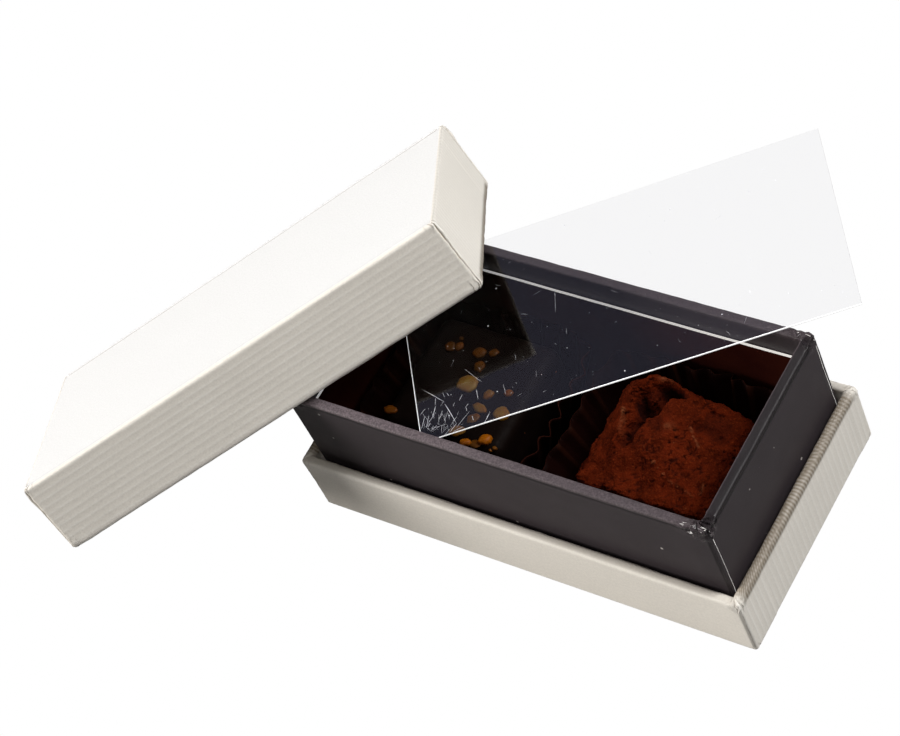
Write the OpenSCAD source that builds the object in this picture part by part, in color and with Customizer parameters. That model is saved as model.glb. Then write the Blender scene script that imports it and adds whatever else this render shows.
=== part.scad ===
// Shoulder box for two chocolates. A tray holds a taller neck, a matching lid leans over its left
// end, and a clear cover sheet lies slanted across the rim. Inside, a card tray holds two pleated
// cups with one chocolate each. The origin is the middle of the tray's underside, the front is -Y.

/* [Tray and lid] */
// Length of the tray and of the lid, over their paper
box_len = 96; // [86:1:106]
// Width of the tray and of the lid, over their paper
box_wid = 49; // [45:1:54]
// Height of the tray
tray_h = 15.6; // [13:0.2:19]
// Height of the lid
lid_h = 15.6; // [14.4:0.2:19]
// Thickness of the greyboard in the tray and the lid
board_t = 1.5; // [1.2:0.1:1.8]
// Thickness of the ribbed covering paper
paper_t = 0.2; // [0.15:0.05:0.25]
// Thickness of the tape over each board corner
tape_t = 0.1; // [0.08:0.01:0.14]
// Length of each arm of that tape, from the corner
tape_arm = 9; // [6:0.5:12]
// Depth that the ribbed paper is turned in, down the inside of the walls
turn_in = 9; // [6:0.5:10]
// Thickness of the lining paper on the tray's floor and under the lid's top
lining_t = 0.15; // [0.1:0.05:0.25]

/* [Neck] */
// Height of the neck's rim above the table
neck_top = 34.8; // [33.6:0.2:37]
// Gap between the tray's wall and the neck, which lets the lid slide over the neck
neck_gap = 0.8; // [0.5:0.1:1]
// Thickness of the neck's greyboard
neck_board_t = 1.5; // [1.2:0.1:1.8]
// Thickness of the black paper round the neck
neck_paper_t = 0.2; // [0.15:0.05:0.25]
// Depth that the black paper is turned in, down the inside of the neck
neck_turn_in = 12; // [8:0.5:20]

/* [Card tray inside the neck] */
// Thickness of the card, whose white core shows along its cut edge
card_t = 0.5; // [0.35:0.05:0.6]
// Gap between the card and the neck's inner faces
card_gap = 0.15; // [0.1:0.05:0.25]
// How far the card's cut edge lies below the neck's rim
card_drop = 5.8; // [5:0.2:7]

/* [Pleated cups] */
// Height of each cup
cup_h = 16; // [13:0.5:18]
// Thickness of the cup's paper
cup_t = 0.3; // [0.2:0.05:0.35]
// Depth of the pleats at the cup's edge, from ridge to valley
pleat_depth = 1.6; // [1:0.1:2]
// Number of pleats round each cup
pleats = 40; // [32:2:48]
// Gap between the cups' edges, and from them to the card tray
cup_gap = 0.3; // [0.2:0.1:0.6]
// Gap between a chocolate and its cup at the floor
cup_ease = 0.9; // [0.7:0.1:1.4]

/* [Chocolates] */
// Length of the left chocolate, a coated square
left_len = 27; // [25:0.5:29]
// Width of the left chocolate
left_wid = 26; // [24:0.5:27]
// Height of the left chocolate
left_h = 17.5; // [15:0.5:19]
// Radius of the left chocolate's edges
left_edge_r = 2.5; // [2:0.1:3.5]
// Length of the right chocolate, a rough truffle
right_len = 29; // [26:0.5:30]
// Width of the right chocolate
right_wid = 26; // [24:0.5:27]
// Height of the right chocolate
right_h = 21.5; // [18:0.5:22]
// Radius of the largest nut piece on the left chocolate
nut_r = 2.3; // [1.8:0.1:2.6]
// Height of the largest nut piece
nut_h = 1.8; // [1.2:0.1:2.2]

/* [Clear sheet] */
// Thickness of the clear sheet
sheet_t = 0.3; // [0.2:0.05:0.4]
// Gap at each end of the sheet when it lies flat inside the neck
sheet_end_gap = 1.2; // [0.6:0.1:2]
// Gap at each long side of the sheet when it lies flat inside the neck
sheet_side_gap = 0.45; // [0.3:0.05:0.8]

/* [Where the lid and the sheet lie] */
// Gap left where a loose piece rests on another
rest_gap = 0.2; // [0.15:0.05:0.3]
// Where the lid's end wall crosses the neck's back rim, as a share of the tray's length
lid_back_share = 0.228; // [0.22:0.001:0.235]
// Where the lid's front wall crosses the neck's front rim, as a share of the tray's length
lid_front_share = 0.069; // [0.065:0.001:0.075]
// Angle in the lid's own plane between its length and the line through those two places
lid_angle = 29.1; // [28:0.1:30]
// Where the sheet's front corner rests by the front wall, as a share of the tray's length
sheet_corner_share = 0.323; // [0.31:0.001:0.33]
// Angle that the sheet is turned in its own plane
sheet_angle = 35.6; // [35:0.1:36.5]

/* [Hidden] */

// Overrun of every cut past the face that it opens
cut = 1;
$fn = 32;

// Wall of the tray and lid: paper, tape, board, turned-in paper
skin = paper_t + tape_t;
wall = skin + board_t + paper_t;
floor_top = paper_t + board_t + lining_t;

// Wall and place of the neck, seen from the tray's outline
neck_skin = neck_paper_t + tape_t;
neck_wall = neck_skin + neck_board_t + neck_paper_t;
neck_in = wall + neck_gap;
neck_inner = neck_in + neck_wall;

// Card tray inside the neck
card_in = neck_inner + card_gap;
card_inner = card_in + card_t;
card_top = neck_top - card_drop;
card_floor = floor_top + card_t;

// Each cup fills its half of the card tray at the edge, and follows its chocolate at the floor
cell_len = (box_len - 2 * card_inner - 3 * cup_gap) / 2;
cell_wid = box_wid - 2 * card_inner - 2 * cup_gap;
cell_x = (cell_len + cup_gap) / 2;
cup_square = 6;
choc_floor = card_floor + cup_t;
pleat_steps = 4;

// Corners of the rough truffle: x, y and z of a ball and its radius, as shares of half the length,
// half the width, the height and the height
truffle_shares = [
    [-0.64, -0.60, 0.22, 0.22], [0.66, -0.62, 0.22, 0.22], [0.66, 0.62, 0.22, 0.22],
    [-0.62, 0.62, 0.20, 0.20], [-0.63, -0.65, 0.64, 0.20], [0.69, -0.65, 0.64, 0.20],
    [0.68, 0.53, 0.66, 0.20], [-0.60, 0.60, 0.80, 0.15], [-0.22, 0.66, 0.80, 0.15],
    [0.02, 0.08, 0.81, 0.19]];

// Nut pieces: x and y as shares of half the chocolate's length and width, size as a share of the
// largest piece
nut_shares = [
    [-0.56, 0.56, 0.72], [-0.33, 0.66, 0.60], [-0.10, 0.51, 0.75], [0.12, 0.56, 0.55],
    [0.03, 0.26, 0.75], [0.00, -0.06, 1.00], [0.41, -0.11, 0.65], [0.67, 0.04, 0.50],
    [0.38, -0.38, 0.70], [0.74, -0.34, 0.80], [0.30, -0.74, 0.60], [0.70, -0.72, 0.70],
    [-0.72, -0.70, 0.60]];

// The sheet fits loosely inside the neck when the box is closed
sheet_len = box_len - 2 * (neck_inner + sheet_end_gap);
sheet_wid = box_wid - 2 * (neck_inner + sheet_side_gap);
// Its front corner rests over the card's edge, and its underside passes over the back rim
sheet_corner = [box_len * (sheet_corner_share - 1 / 2), neck_inner + rest_gap - box_wid / 2,
                card_top + rest_gap + sheet_t / 3];
sheet_run = box_wid - 2 * neck_inner - rest_gap;
sheet_tilt = atan2(neck_top + rest_gap - sheet_corner[2], sheet_run);

// The lid stands on one corner of its rim on the table. The inner edge of its end wall lies over
// the sheet on the neck's back rim, and that of its front wall on the neck's front rim.
rest_back = [box_len * (lid_back_share - 1 / 2), box_wid / 2 - neck_in,
             neck_top + 2 * rest_gap + sheet_t];
rest_front = [box_len * (lid_front_share - 1 / 2), neck_in - box_wid / 2, neck_top + rest_gap];
rest_line = norm(rest_back - rest_front);
// The two places in the lid's own plane, along its length and from its back edge to its front
back_u = box_len - wall;
front_v = box_wid - wall;
front_u = back_u - rest_line * cos(lid_angle);
back_v = front_v - rest_line * sin(lid_angle);
// Rise of the lid's plane along each of these, from the two heights
plane_det = back_u * front_v - back_v * front_u;
rise_u = (rest_back[2] * front_v - back_v * rest_front[2]) / plane_det;
rise_v = (back_u * rest_front[2] - front_u * rest_back[2]) / plane_det;
lid_pitch = -asin(rise_u);
lid_roll = -asin(rise_v / cos(lid_pitch));
// Seen from above, before it is turned: its length, its width, and the line between the places
flat_u = [cos(lid_pitch), 0];
flat_v = [-sin(lid_pitch) * sin(lid_roll), -cos(lid_roll)];
flat_line = (back_u - front_u) * flat_u + (back_v - front_v) * flat_v;
lid_yaw = atan2(rest_back[1] - rest_front[1], rest_back[0] - rest_front[0])
    - atan2(flat_line[1], flat_line[0]);
function turned(p, a) = [p[0] * cos(a) - p[1] * sin(a), p[0] * sin(a) + p[1] * cos(a)];
lid_foot = [rest_front[0], rest_front[1]] - turned(front_u * flat_u + front_v * flat_v, lid_yaw);

// A box whose sides lie a given distance inside the tray's outline, between two heights
module inset_box(inset, low, high) {
    translate([inset, inset, low])
        cube([box_len - 2 * inset, box_wid - 2 * inset, high - low]);
}

module in_tray() {
    translate([-box_len / 2, -box_wid / 2, 0]) children();
}

// A tray piece turned over into the lid: its rim is down, its back left rim corner on the table
module in_lid() {
    translate([lid_foot[0], lid_foot[1], 0])
        rotate([lid_roll, lid_pitch, lid_yaw])
            translate([0, -box_wid, lid_h])
                mirror([0, 0, 1]) children();
}

// Greyboard floor and four walls of a tray of the given height
module board_shell(height) {
    difference() {
        inset_box(skin, paper_t, height - paper_t);
        inset_box(skin + board_t, paper_t + board_t, height + cut);
    }
}

// Ribbed paper under the floor, up the walls, over the rim and down inside
module wrap_shell(height) {
    difference() {
        inset_box(0, 0, height);
        inset_box(paper_t, paper_t, height - turn_in);
        inset_box(wall, height - turn_in - cut, height + cut);
        difference() {
            inset_box(paper_t, height - turn_in - cut, height - paper_t);
            inset_box(wall - paper_t, height - turn_in - 2 * cut, height);
        }
    }
}

// Four tapes, each bent round a corner between two depths and two heights
module corner_tapes(outer, inner, low, high) {
    difference() {
        inset_box(outer, low, high);
        inset_box(inner, low - cut, high + cut);
        translate([outer + tape_arm, outer - cut, low - cut])
            cube([box_len - 2 * (outer + tape_arm), box_wid + cut, high - low + 2 * cut]);
        translate([outer - cut, outer + tape_arm, low - cut])
            cube([box_len + cut, box_wid - 2 * (outer + tape_arm), high - low + 2 * cut]);
    }
}

// Lining paper that covers the board floor between the walls
module lining_sheet() {
    inset_box(skin + board_t, paper_t + board_t, floor_top);
}

// Half the length or width of a rounded square ring, seen at an angle
function ring_r(a, half_x, half_y) =
    pow(pow(abs(cos(a)) / half_x, cup_square) + pow(abs(sin(a)) / half_y, cup_square),
        -1 / cup_square);

// One ring of a cup: a share of the way up, drawn in by an inset, with its pleats
function cup_ring(share, inset, z, len, wid) =
    let (half_x = len / 2 + cup_ease + (cell_len / 2 - len / 2 - cup_ease) * share - inset,
         half_y = wid / 2 + cup_ease + (cell_wid / 2 - wid / 2 - cup_ease) * share - inset,
         n = pleats * pleat_steps)
    [for (i = [0 : n - 1])
        let (a = 360 * i / n,
             r = ring_r(a, half_x, half_y) - pleat_depth * share * (1 - cos(a * pleats)) / 2)
        [r * cos(a), r * sin(a), z]];

// Pleated paper cup round a chocolate of the given length and width, standing on z = 0
module cup(len, wid) {
    n = pleats * pleat_steps;
    under = cup_ring(0, 0, 0, len, wid);
    mid = cup_ring(1 / 2, 0, cup_h / 2, len, wid);
    edge = cup_ring(1, 0, cup_h, len, wid);
    edge_in = cup_ring(1, cup_t, cup_h, len, wid);
    mid_in = cup_ring(1 / 2, cup_t, cup_h / 2, len, wid);
    floor_in = cup_ring(0, cup_t, cup_t, len, wid);
    points = concat(under, mid, edge, edge_in, mid_in, floor_in, [[0, 0, 0], [0, 0, cup_t]]);
    bands = [for (k = [0 : 4], i = [0 : n - 1])
        let (j = (i + 1) % n) [k * n + i, (k + 1) * n + i, (k + 1) * n + j, k * n + j]];
    bottoms = [for (i = [0 : n - 1]) [i, (i + 1) % n, 6 * n]];
    tops = [for (i = [0 : n - 1]) [5 * n + (i + 1) % n, 5 * n + i, 6 * n + 1]];
    polyhedron(points, concat(bands, bottoms, tops));
}

module tray_board() {
    color("burlywood") in_tray() board_shell(tray_h);
}

module tray_wrap() {
    color("ivory") in_tray() wrap_shell(tray_h);
}

module tray_corner_tapes() {
    color("wheat") in_tray() corner_tapes(paper_t, skin, paper_t, tray_h - paper_t);
}

module tray_lining() {
    color("whitesmoke") in_tray() lining_sheet();
}

// Four walls that stand on the tray's lining and rise above its rim
module neck_board() {
    color("dimgray") in_tray() difference() {
        inset_box(neck_in + neck_skin, floor_top, neck_top - neck_paper_t);
        inset_box(neck_inner - neck_paper_t, floor_top - cut, neck_top + cut);
    }
}

// Black paper up the outside, over the rim and down inside
module neck_wrap() {
    low = neck_top - neck_turn_in;
    color("#2b292d") in_tray() difference() {
        inset_box(neck_in, floor_top, neck_top);
        inset_box(neck_in + neck_paper_t, floor_top - cut, low);
        inset_box(neck_inner, low - cut, neck_top + cut);
        difference() {
            inset_box(neck_in + neck_paper_t, low - cut, neck_top - neck_paper_t);
            inset_box(neck_inner - neck_paper_t, low - 2 * cut, neck_top);
        }
    }
}

module neck_corner_tapes() {
    color("wheat") in_tray()
        corner_tapes(neck_in + neck_paper_t, neck_in + neck_skin, floor_top,
                     neck_top - neck_paper_t);
}

// Folded card with a floor, open at the top
module card_tray() {
    color("#2a1712") in_tray() difference() {
        inset_box(card_in, floor_top, card_top);
        inset_box(card_inner, card_floor, card_top + cut);
    }
}

module cup_left() {
    color("#3a1f16") translate([-cell_x, 0, card_floor]) cup(left_len, left_wid);
}

module cup_right() {
    color("#3a1f16") translate([cell_x, 0, card_floor]) cup(right_len, right_wid);
}

// Coated square chocolate with soft edges
module chocolate_left() {
    color("#24120c") translate([-cell_x, 0, choc_floor])
        hull()
            for (x = [-1, 1], y = [-1, 1], z = [left_edge_r, left_h - left_edge_r])
                translate([x * (left_len / 2 - left_edge_r), y * (left_wid / 2 - left_edge_r), z])
                    sphere(left_edge_r);
}

// Rough truffle, dusted with cocoa
module truffle_right() {
    color("#6b2f18") translate([cell_x, 0, choc_floor])
        hull()
            for (s = truffle_shares)
                translate([s[0] * right_len / 2, s[1] * right_wid / 2, s[2] * right_h])
                    sphere(s[3] * right_h);
}

// Chopped nuts on top of the left chocolate, each a flat-bottomed dome
module nut_pieces() {
    color("#c98a2b") translate([-cell_x, 0, choc_floor + left_h])
        for (s = nut_shares)
            translate([s[0] * left_len / 2, s[1] * left_wid / 2, 0])
                nut(s[2] * nut_r, s[2] * nut_h);
}

module nut(radius, height) {
    intersection() {
        translate([0, 0, height - radius]) sphere(radius);
        translate([-radius, -radius, 0]) cube(2 * radius);
    }
}

// Clear cover sheet, slanted over the back rim
module clear_sheet() {
    color("lightsteelblue", 0.4)
        translate(sheet_corner)
            rotate([sheet_tilt, 0, 0])
                rotate([0, 0, sheet_angle])
                    cube([sheet_len, sheet_wid, sheet_t]);
}

module lid_board() {
    color("burlywood") in_lid() board_shell(lid_h);
}

module lid_wrap() {
    color("ivory") in_lid() wrap_shell(lid_h);
}

module lid_corner_tapes() {
    color("wheat") in_lid() corner_tapes(paper_t, skin, paper_t, lid_h - paper_t);
}

module lid_lining() {
    color("whitesmoke") in_lid() lining_sheet();
}

tray_board();
tray_wrap();
tray_corner_tapes();
tray_lining();
neck_board();
neck_wrap();
neck_corner_tapes();
card_tray();
cup_left();
cup_right();
chocolate_left();
truffle_right();
nut_pieces();
clear_sheet();
lid_board();
lid_wrap();
lid_corner_tapes();
lid_lining();
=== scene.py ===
"""Open box for two chocolates: the looks of the tray, neck, lid, clear sheet and filling."""

import math
import random
from types import SimpleNamespace

import bmesh
import bpy
import numpy as np
from mathutils import Matrix, Vector, noise


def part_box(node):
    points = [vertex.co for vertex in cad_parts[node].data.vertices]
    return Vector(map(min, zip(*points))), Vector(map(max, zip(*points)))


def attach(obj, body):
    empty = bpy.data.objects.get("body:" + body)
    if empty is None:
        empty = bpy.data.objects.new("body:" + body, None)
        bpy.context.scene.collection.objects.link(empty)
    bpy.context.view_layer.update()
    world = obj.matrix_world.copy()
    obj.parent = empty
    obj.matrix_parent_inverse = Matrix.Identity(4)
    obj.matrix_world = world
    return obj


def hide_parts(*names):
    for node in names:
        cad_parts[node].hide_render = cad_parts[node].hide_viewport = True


bl_info = {
    "name": "Chocolate box",
    "version": (1, 0, 0),
    "blender": (4, 5, 0),
    "location": "View3D > Sidebar > Chocolate box",
    "description": "Builds the looks of an open two-piece box with two chocolates",
    "category": "Add Mesh",
}

# Frame and the sizes that come from it
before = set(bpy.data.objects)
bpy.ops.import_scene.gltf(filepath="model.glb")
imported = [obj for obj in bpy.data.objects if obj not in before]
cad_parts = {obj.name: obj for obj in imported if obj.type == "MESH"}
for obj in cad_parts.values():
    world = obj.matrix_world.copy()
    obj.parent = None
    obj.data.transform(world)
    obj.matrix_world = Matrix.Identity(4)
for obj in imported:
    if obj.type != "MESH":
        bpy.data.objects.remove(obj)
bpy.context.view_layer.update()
MM = 0.001
TRAY_LOW, TRAY_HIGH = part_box("tray_wrap")
NECK_LOW, NECK_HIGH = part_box("neck_wrap")
CARD_LOW, CARD_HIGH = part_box("card_tray")
LEFT_LOW, LEFT_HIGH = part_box("chocolate_left")
BOX_LEN = (TRAY_HIGH.x - TRAY_LOW.x) / MM
BOX_WID = (TRAY_HIGH.y - TRAY_LOW.y) / MM
TRAY_H = (TRAY_HIGH.z - TRAY_LOW.z) / MM
NECK_LEN = (NECK_HIGH.x - NECK_LOW.x) / MM
NECK_WID = (NECK_HIGH.y - NECK_LOW.y) / MM
NECK_FOOT = NECK_LOW.z / MM
NECK_TOP = NECK_HIGH.z / MM
# The clear sheet's flat length, width and thickness, in millimetres
SHEET_LEN, SHEET_WID, SHEET_T = 84.0, 38.5, 0.3
# Signs of the four corners, and the sides in the order in which they run round
CORNERS = ((-1, -1), (-1, 1), (1, -1), (1, 1))
FRONT, RIGHT, BACK, LEFT = range(4)
SEED = 7


# Sizes and colours that a user may change
def length_prop(label, text, millimetres, **more):
    """A length that a user may change, given in millimetres."""
    return bpy.props.FloatProperty(
        name=label, description=text, default=millimetres * MM, unit="LENGTH", precision=5, **more
    )


def colour_prop(label, text, red, green, blue):
    """A colour that a user may change."""
    return bpy.props.FloatVectorProperty(
        name=label, description=text, default=(red, green, blue), size=3, subtype="COLOR",
        min=0.0, max=1.0,
    )


def share_prop(label, text, value, **more):
    """A plain number that a user may change."""
    return bpy.props.FloatProperty(name=label, description=text, default=value, **more)


class BoxSizes(bpy.types.PropertyGroup):
    """Sizes of the box's boards and papers"""

    paper: length_prop("Ribbed paper", "Thickness of the covering paper", 0.2)
    tape: length_prop("Corner tape", "Thickness of the tape over each board corner", 0.1)
    tape_arm: length_prop("Tape arm", "Length of the tape each side of a corner", 9.0)
    board: length_prop("Greyboard", "Thickness of the board", 1.5)
    turn_in: length_prop("Turn-in", "Depth of the paper folded inside the wall", 9.0)
    neck_turn_in: length_prop("Neck turn-in", "Depth of the black paper inside the neck", 12.0)
    rim_roll: length_prop("Rim rounding", "Radius of the tray's and lid's rim", 0.88)
    fold_roll: length_prop("Fold rounding", "Radius of the folded long edges", 0.55)
    neck_roll: length_prop("Neck rounding", "Radius of the neck's rim", 0.42)
    rib_pitch: length_prop("Rib pitch", "Distance from rib to rib in the paper", 1.5)
    rib_height: length_prop("Rib height", "Height of the embossed ribs", 0.014)
    card: length_prop("Card", "Thickness of the card tray", 0.5)
    cup: length_prop("Cup paper", "Thickness of the pleated cups", 0.16)
    pleat: length_prop("Pleat depth", "Depth of the pleats at a cup's edge", 1.6)
    sheet_wave: length_prop("Sheet wave", "Height of the clear sheet's slow waves", 0.05)


class BoxColours(bpy.types.PropertyGroup):
    """Colours of the box, its papers and its filling"""

    paper: colour_prop("Ribbed paper", "Cream covering paper", 0.80, 0.765, 0.70)
    # Rib crests are painted paler than the paper: a painted highlight on top of each rib.
    paper_crest_highlight: colour_prop("Rib crests", "Paper on top of a rib", 0.90, 0.875, 0.82)
    # The flat panel, the lid's top, is painted cooler and whiter than the paper: painted light for
    # the bright light on it.
    panel: colour_prop("Panel paper", "Paper of the flat panel, bleached by light",
                       0.790, 0.800, 0.805)
    greyboard: colour_prop("Greyboard", "Bare board", 0.30, 0.26, 0.21)
    tape: colour_prop("Tape", "Corner tape under the paper", 0.55, 0.45, 0.30)
    lining: colour_prop("Lining", "Smooth lining paper", 0.74, 0.72, 0.68)
    neck: colour_prop("Neck paper", "Charcoal paper of the neck", 0.030, 0.0243, 0.0275)
    # Pale neck paper: the fibres' random tone, and a sheen painted on the rims and crumpled
    # corners.
    neck_worn_and_sheen: colour_prop("Worn neck paper", "Charcoal paper where it is rubbed",
                           0.17, 0.138, 0.150)
    card: colour_prop("Card", "Dark face of the card tray", 0.021, 0.0032, 0.0019)
    card_core: colour_prop("Card core", "White core at the card's cut edge", 0.95, 0.92, 0.86)
    cup: colour_prop("Cup paper", "Brown paper of the cups", 0.0045, 0.0009, 0.0006)
    cup_edge: colour_prop("Cup edge", "Cut edge of the cup paper", 0.020, 0.0038, 0.0016)
    # The coating is painted darker than its own colour: painted shade for the lid's shadow over it.
    chocolate: colour_prop("Chocolate", "Dark coating of the left chocolate",
                           0.0028, 0.0012, 0.0009)
    bloom: colour_prop("Bloom", "Pale film on the coating", 0.0050, 0.0024, 0.0016)
    cocoa: colour_prop("Cocoa", "Cocoa powder on the truffle", 0.080, 0.0092, 0.0020)
    cocoa_light: colour_prop("Light cocoa", "Loose cocoa on the crests", 0.150, 0.024, 0.0055)
    cocoa_hollow_shade: colour_prop("Cocoa shade", "Cocoa in the truffle's hollows", 0.014, 0.0025, 0.0015)
    # Also painted on lit ridges and along the crack's edge as a highlight.
    crust_and_highlight: colour_prop("Crust", "Bare ganache on the lips and cracks", 0.26, 0.085, 0.035)
    nut: colour_prop("Nut", "Candied nut pieces", 0.27, 0.075, 0.001)
    nut_pale: colour_prop("Pale nut", "Olive-yellow nut pieces", 0.15, 0.095, 0.015)
    film: colour_prop("Clear sheet", "Tint of the clear sheet", 0.993, 0.992, 0.992)


class StageLook(bpy.types.PropertyGroup):
    """Floor and lights of the studio"""

    floor: colour_prop("Floor", "Floor as the box is lit by it", 0.25, 0.25, 0.25)
    sky: share_prop("Room light", "Strength of the room's even light", 0.02, min=0.0)
    left: share_prop("Left lamp", "Brightness of the low lamp on the left", 32.0, min=0.0)
    right: share_prop("Right lamp", "Brightness of the high lamp on the right", 11.6, min=0.0)
    side: share_prop("Side lamp", "Brightness of the lower lamp on the right", 5.0, min=0.0)
    front: share_prop("Front lamp", "Brightness of the weak lamp over the front", 2.2, min=0.0)
    cloth: share_prop("Overhead cloth", "Brightness of the dim cloth overhead", 0.25, min=0.0)


# Mesh helpers, all in millimetres
def new_object(name, data):
    """An object in the scene that holds a mesh, a lamp or a camera."""
    made = bpy.data.objects.new(name, data)
    bpy.context.scene.collection.objects.link(made)
    return made


def make_mesh(name, points, faces, smooth=True, paper_uv=None):
    """A mesh object from points in millimetres; paper_uv gives a place on the flat paper for
    each face corner."""
    mesh = bpy.data.meshes.new(name)
    mesh.from_pydata((np.asarray(points, float) * MM).tolist(), [], faces)
    if smooth:
        mesh.polygons.foreach_set("use_smooth", [True] * len(mesh.polygons))
    if paper_uv is not None:
        layer = mesh.uv_layers.new(name="paper")
        layer.data.foreach_set("uv", np.asarray(paper_uv, np.float32).ravel())
    mesh.update()
    return new_object(name, mesh)


def mesh_points(made):
    """Places of a mesh's points, in millimetres."""
    points = np.empty(len(made.data.vertices) * 3)
    made.data.vertices.foreach_get("co", points)
    return points.reshape(-1, 3) / MM


def mesh_normals(made):
    """Directions in which a mesh's points face."""
    normals = np.empty(len(made.data.vertices) * 3, np.float32)
    made.data.vertex_normals.foreach_get("vector", normals)
    return normals.reshape(-1, 3).astype(float)


def set_points(made, points):
    """Moves a mesh's points to places in millimetres."""
    made.data.vertices.foreach_set("co", (points * MM).ravel())
    made.data.update()


def set_mask(made, name, values):
    """Keeps one number for each point, which a material reads by name."""
    layer = made.data.attributes.new(name, "FLOAT", "POINT")
    layer.data.foreach_set("value", np.clip(values, 0, 1).astype(np.float32))


def smooth_step(low, high, value):
    """Rises softly from 0 at the low value to 1 at the high one."""
    share = np.clip((value - low) / (high - low), 0, 1)
    return share * share * (3 - 2 * share)


def bump_at(value, centre, width):
    """A soft hill of height 1 at a centre."""
    return np.exp(-(((value - centre) / width) ** 2))


def cloud(points, scale, octaves=3, shift=0.0):
    """Soft noise between about -1 and 1 at each point."""
    offset = Vector((shift, shift * 0.7, shift * 0.3))
    return np.array([
        noise.fractal(Vector(p) * scale + offset, 1.0, 2.0, octaves) for p in points
    ])


def creases(points, scale, shift=0.0):
    """Sharp folds between about -1 and 1, as in crushed paper."""
    offset = Vector((shift, shift * 0.7, shift * 0.3))
    values = []
    for p in points:
        near, far = noise.voronoi(Vector(p) * scale + offset)[0][:2]
        values.append(far - near)
    return np.array(values) * 2 - 0.6


def turned(x, y, angle):
    """A step along x and y, turned by an angle seen from above."""
    return (x * math.cos(angle) - y * math.sin(angle), x * math.sin(angle) + y * math.cos(angle))


def direction(tilt, turn):
    """A direction by its tilt from straight up and its turn."""
    return math.sin(tilt) * math.cos(turn), math.sin(tilt) * math.sin(turn), math.cos(tilt)


def spaced(half, near_ends, pitch):
    """Positions from -half to half: the given distances near both ends, one every pitch between."""
    inner = half - near_ends[-1]
    count = max(1, round(2 * inner / pitch))
    ends = [-half + step for step in near_ends[:-1]]
    middle = [-inner + 2 * inner * i / count for i in range(count + 1)]
    return ends + middle + [-x for x in reversed(ends)]


def arc(centre, radius, start, end, steps):
    """Points of an arc in the wall's section, angles in degrees from the inset direction."""
    angles = [math.radians(start + (end - start) * i / steps) for i in range(steps + 1)]
    return [(centre[0] + radius * math.cos(a), centre[1] + radius * math.sin(a)) for a in angles]


def straight(start, end, pitch):
    """Points between two ends of a straight stretch, without its first point."""
    count = max(1, round(math.dist(start, end) / pitch))
    return [(start[0] + (end[0] - start[0]) * i / count,
             start[1] + (end[1] - start[1]) * i / count) for i in range(1, count + 1)]


def band_faces(start, count, rows, closed=True, flip=False):
    """Faces between neighbouring rows of points, with count points in each row."""
    faces = []
    for low in range(start, start + rows * count, count):
        for i in range(count if closed else count - 1):
            j = (i + 1) % count
            ring = (low + i, low + j, low + count + j, low + count + i)
            faces.append(ring[:1] + ring[:0:-1] if flip else ring)
    return faces


def wall_path(low, height, inset, wall, roll, foot_roll, pitch, flap_end, flap_pitch):
    """Section of a folded wall as insets and heights: up outside, over the rim, down inside."""
    if foot_roll:
        path = arc((inset + foot_roll, low + foot_roll), foot_roll, 270, 180, 4)
    else:
        path = [(inset, low)]
    path += straight(path[-1], (inset, height - roll), pitch)
    path += arc((inset + roll, height - roll), roll, 180, 90, 6)[1:]
    flat_end = inset + wall - roll
    path += straight((inset + roll, height), (flat_end, height), roll / 2)
    path += arc((flat_end, height - roll), roll, 90, 0, 6)[1:]
    path += straight((inset + wall, height - roll), (inset + wall, flap_end), flap_pitch)
    return path


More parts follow.
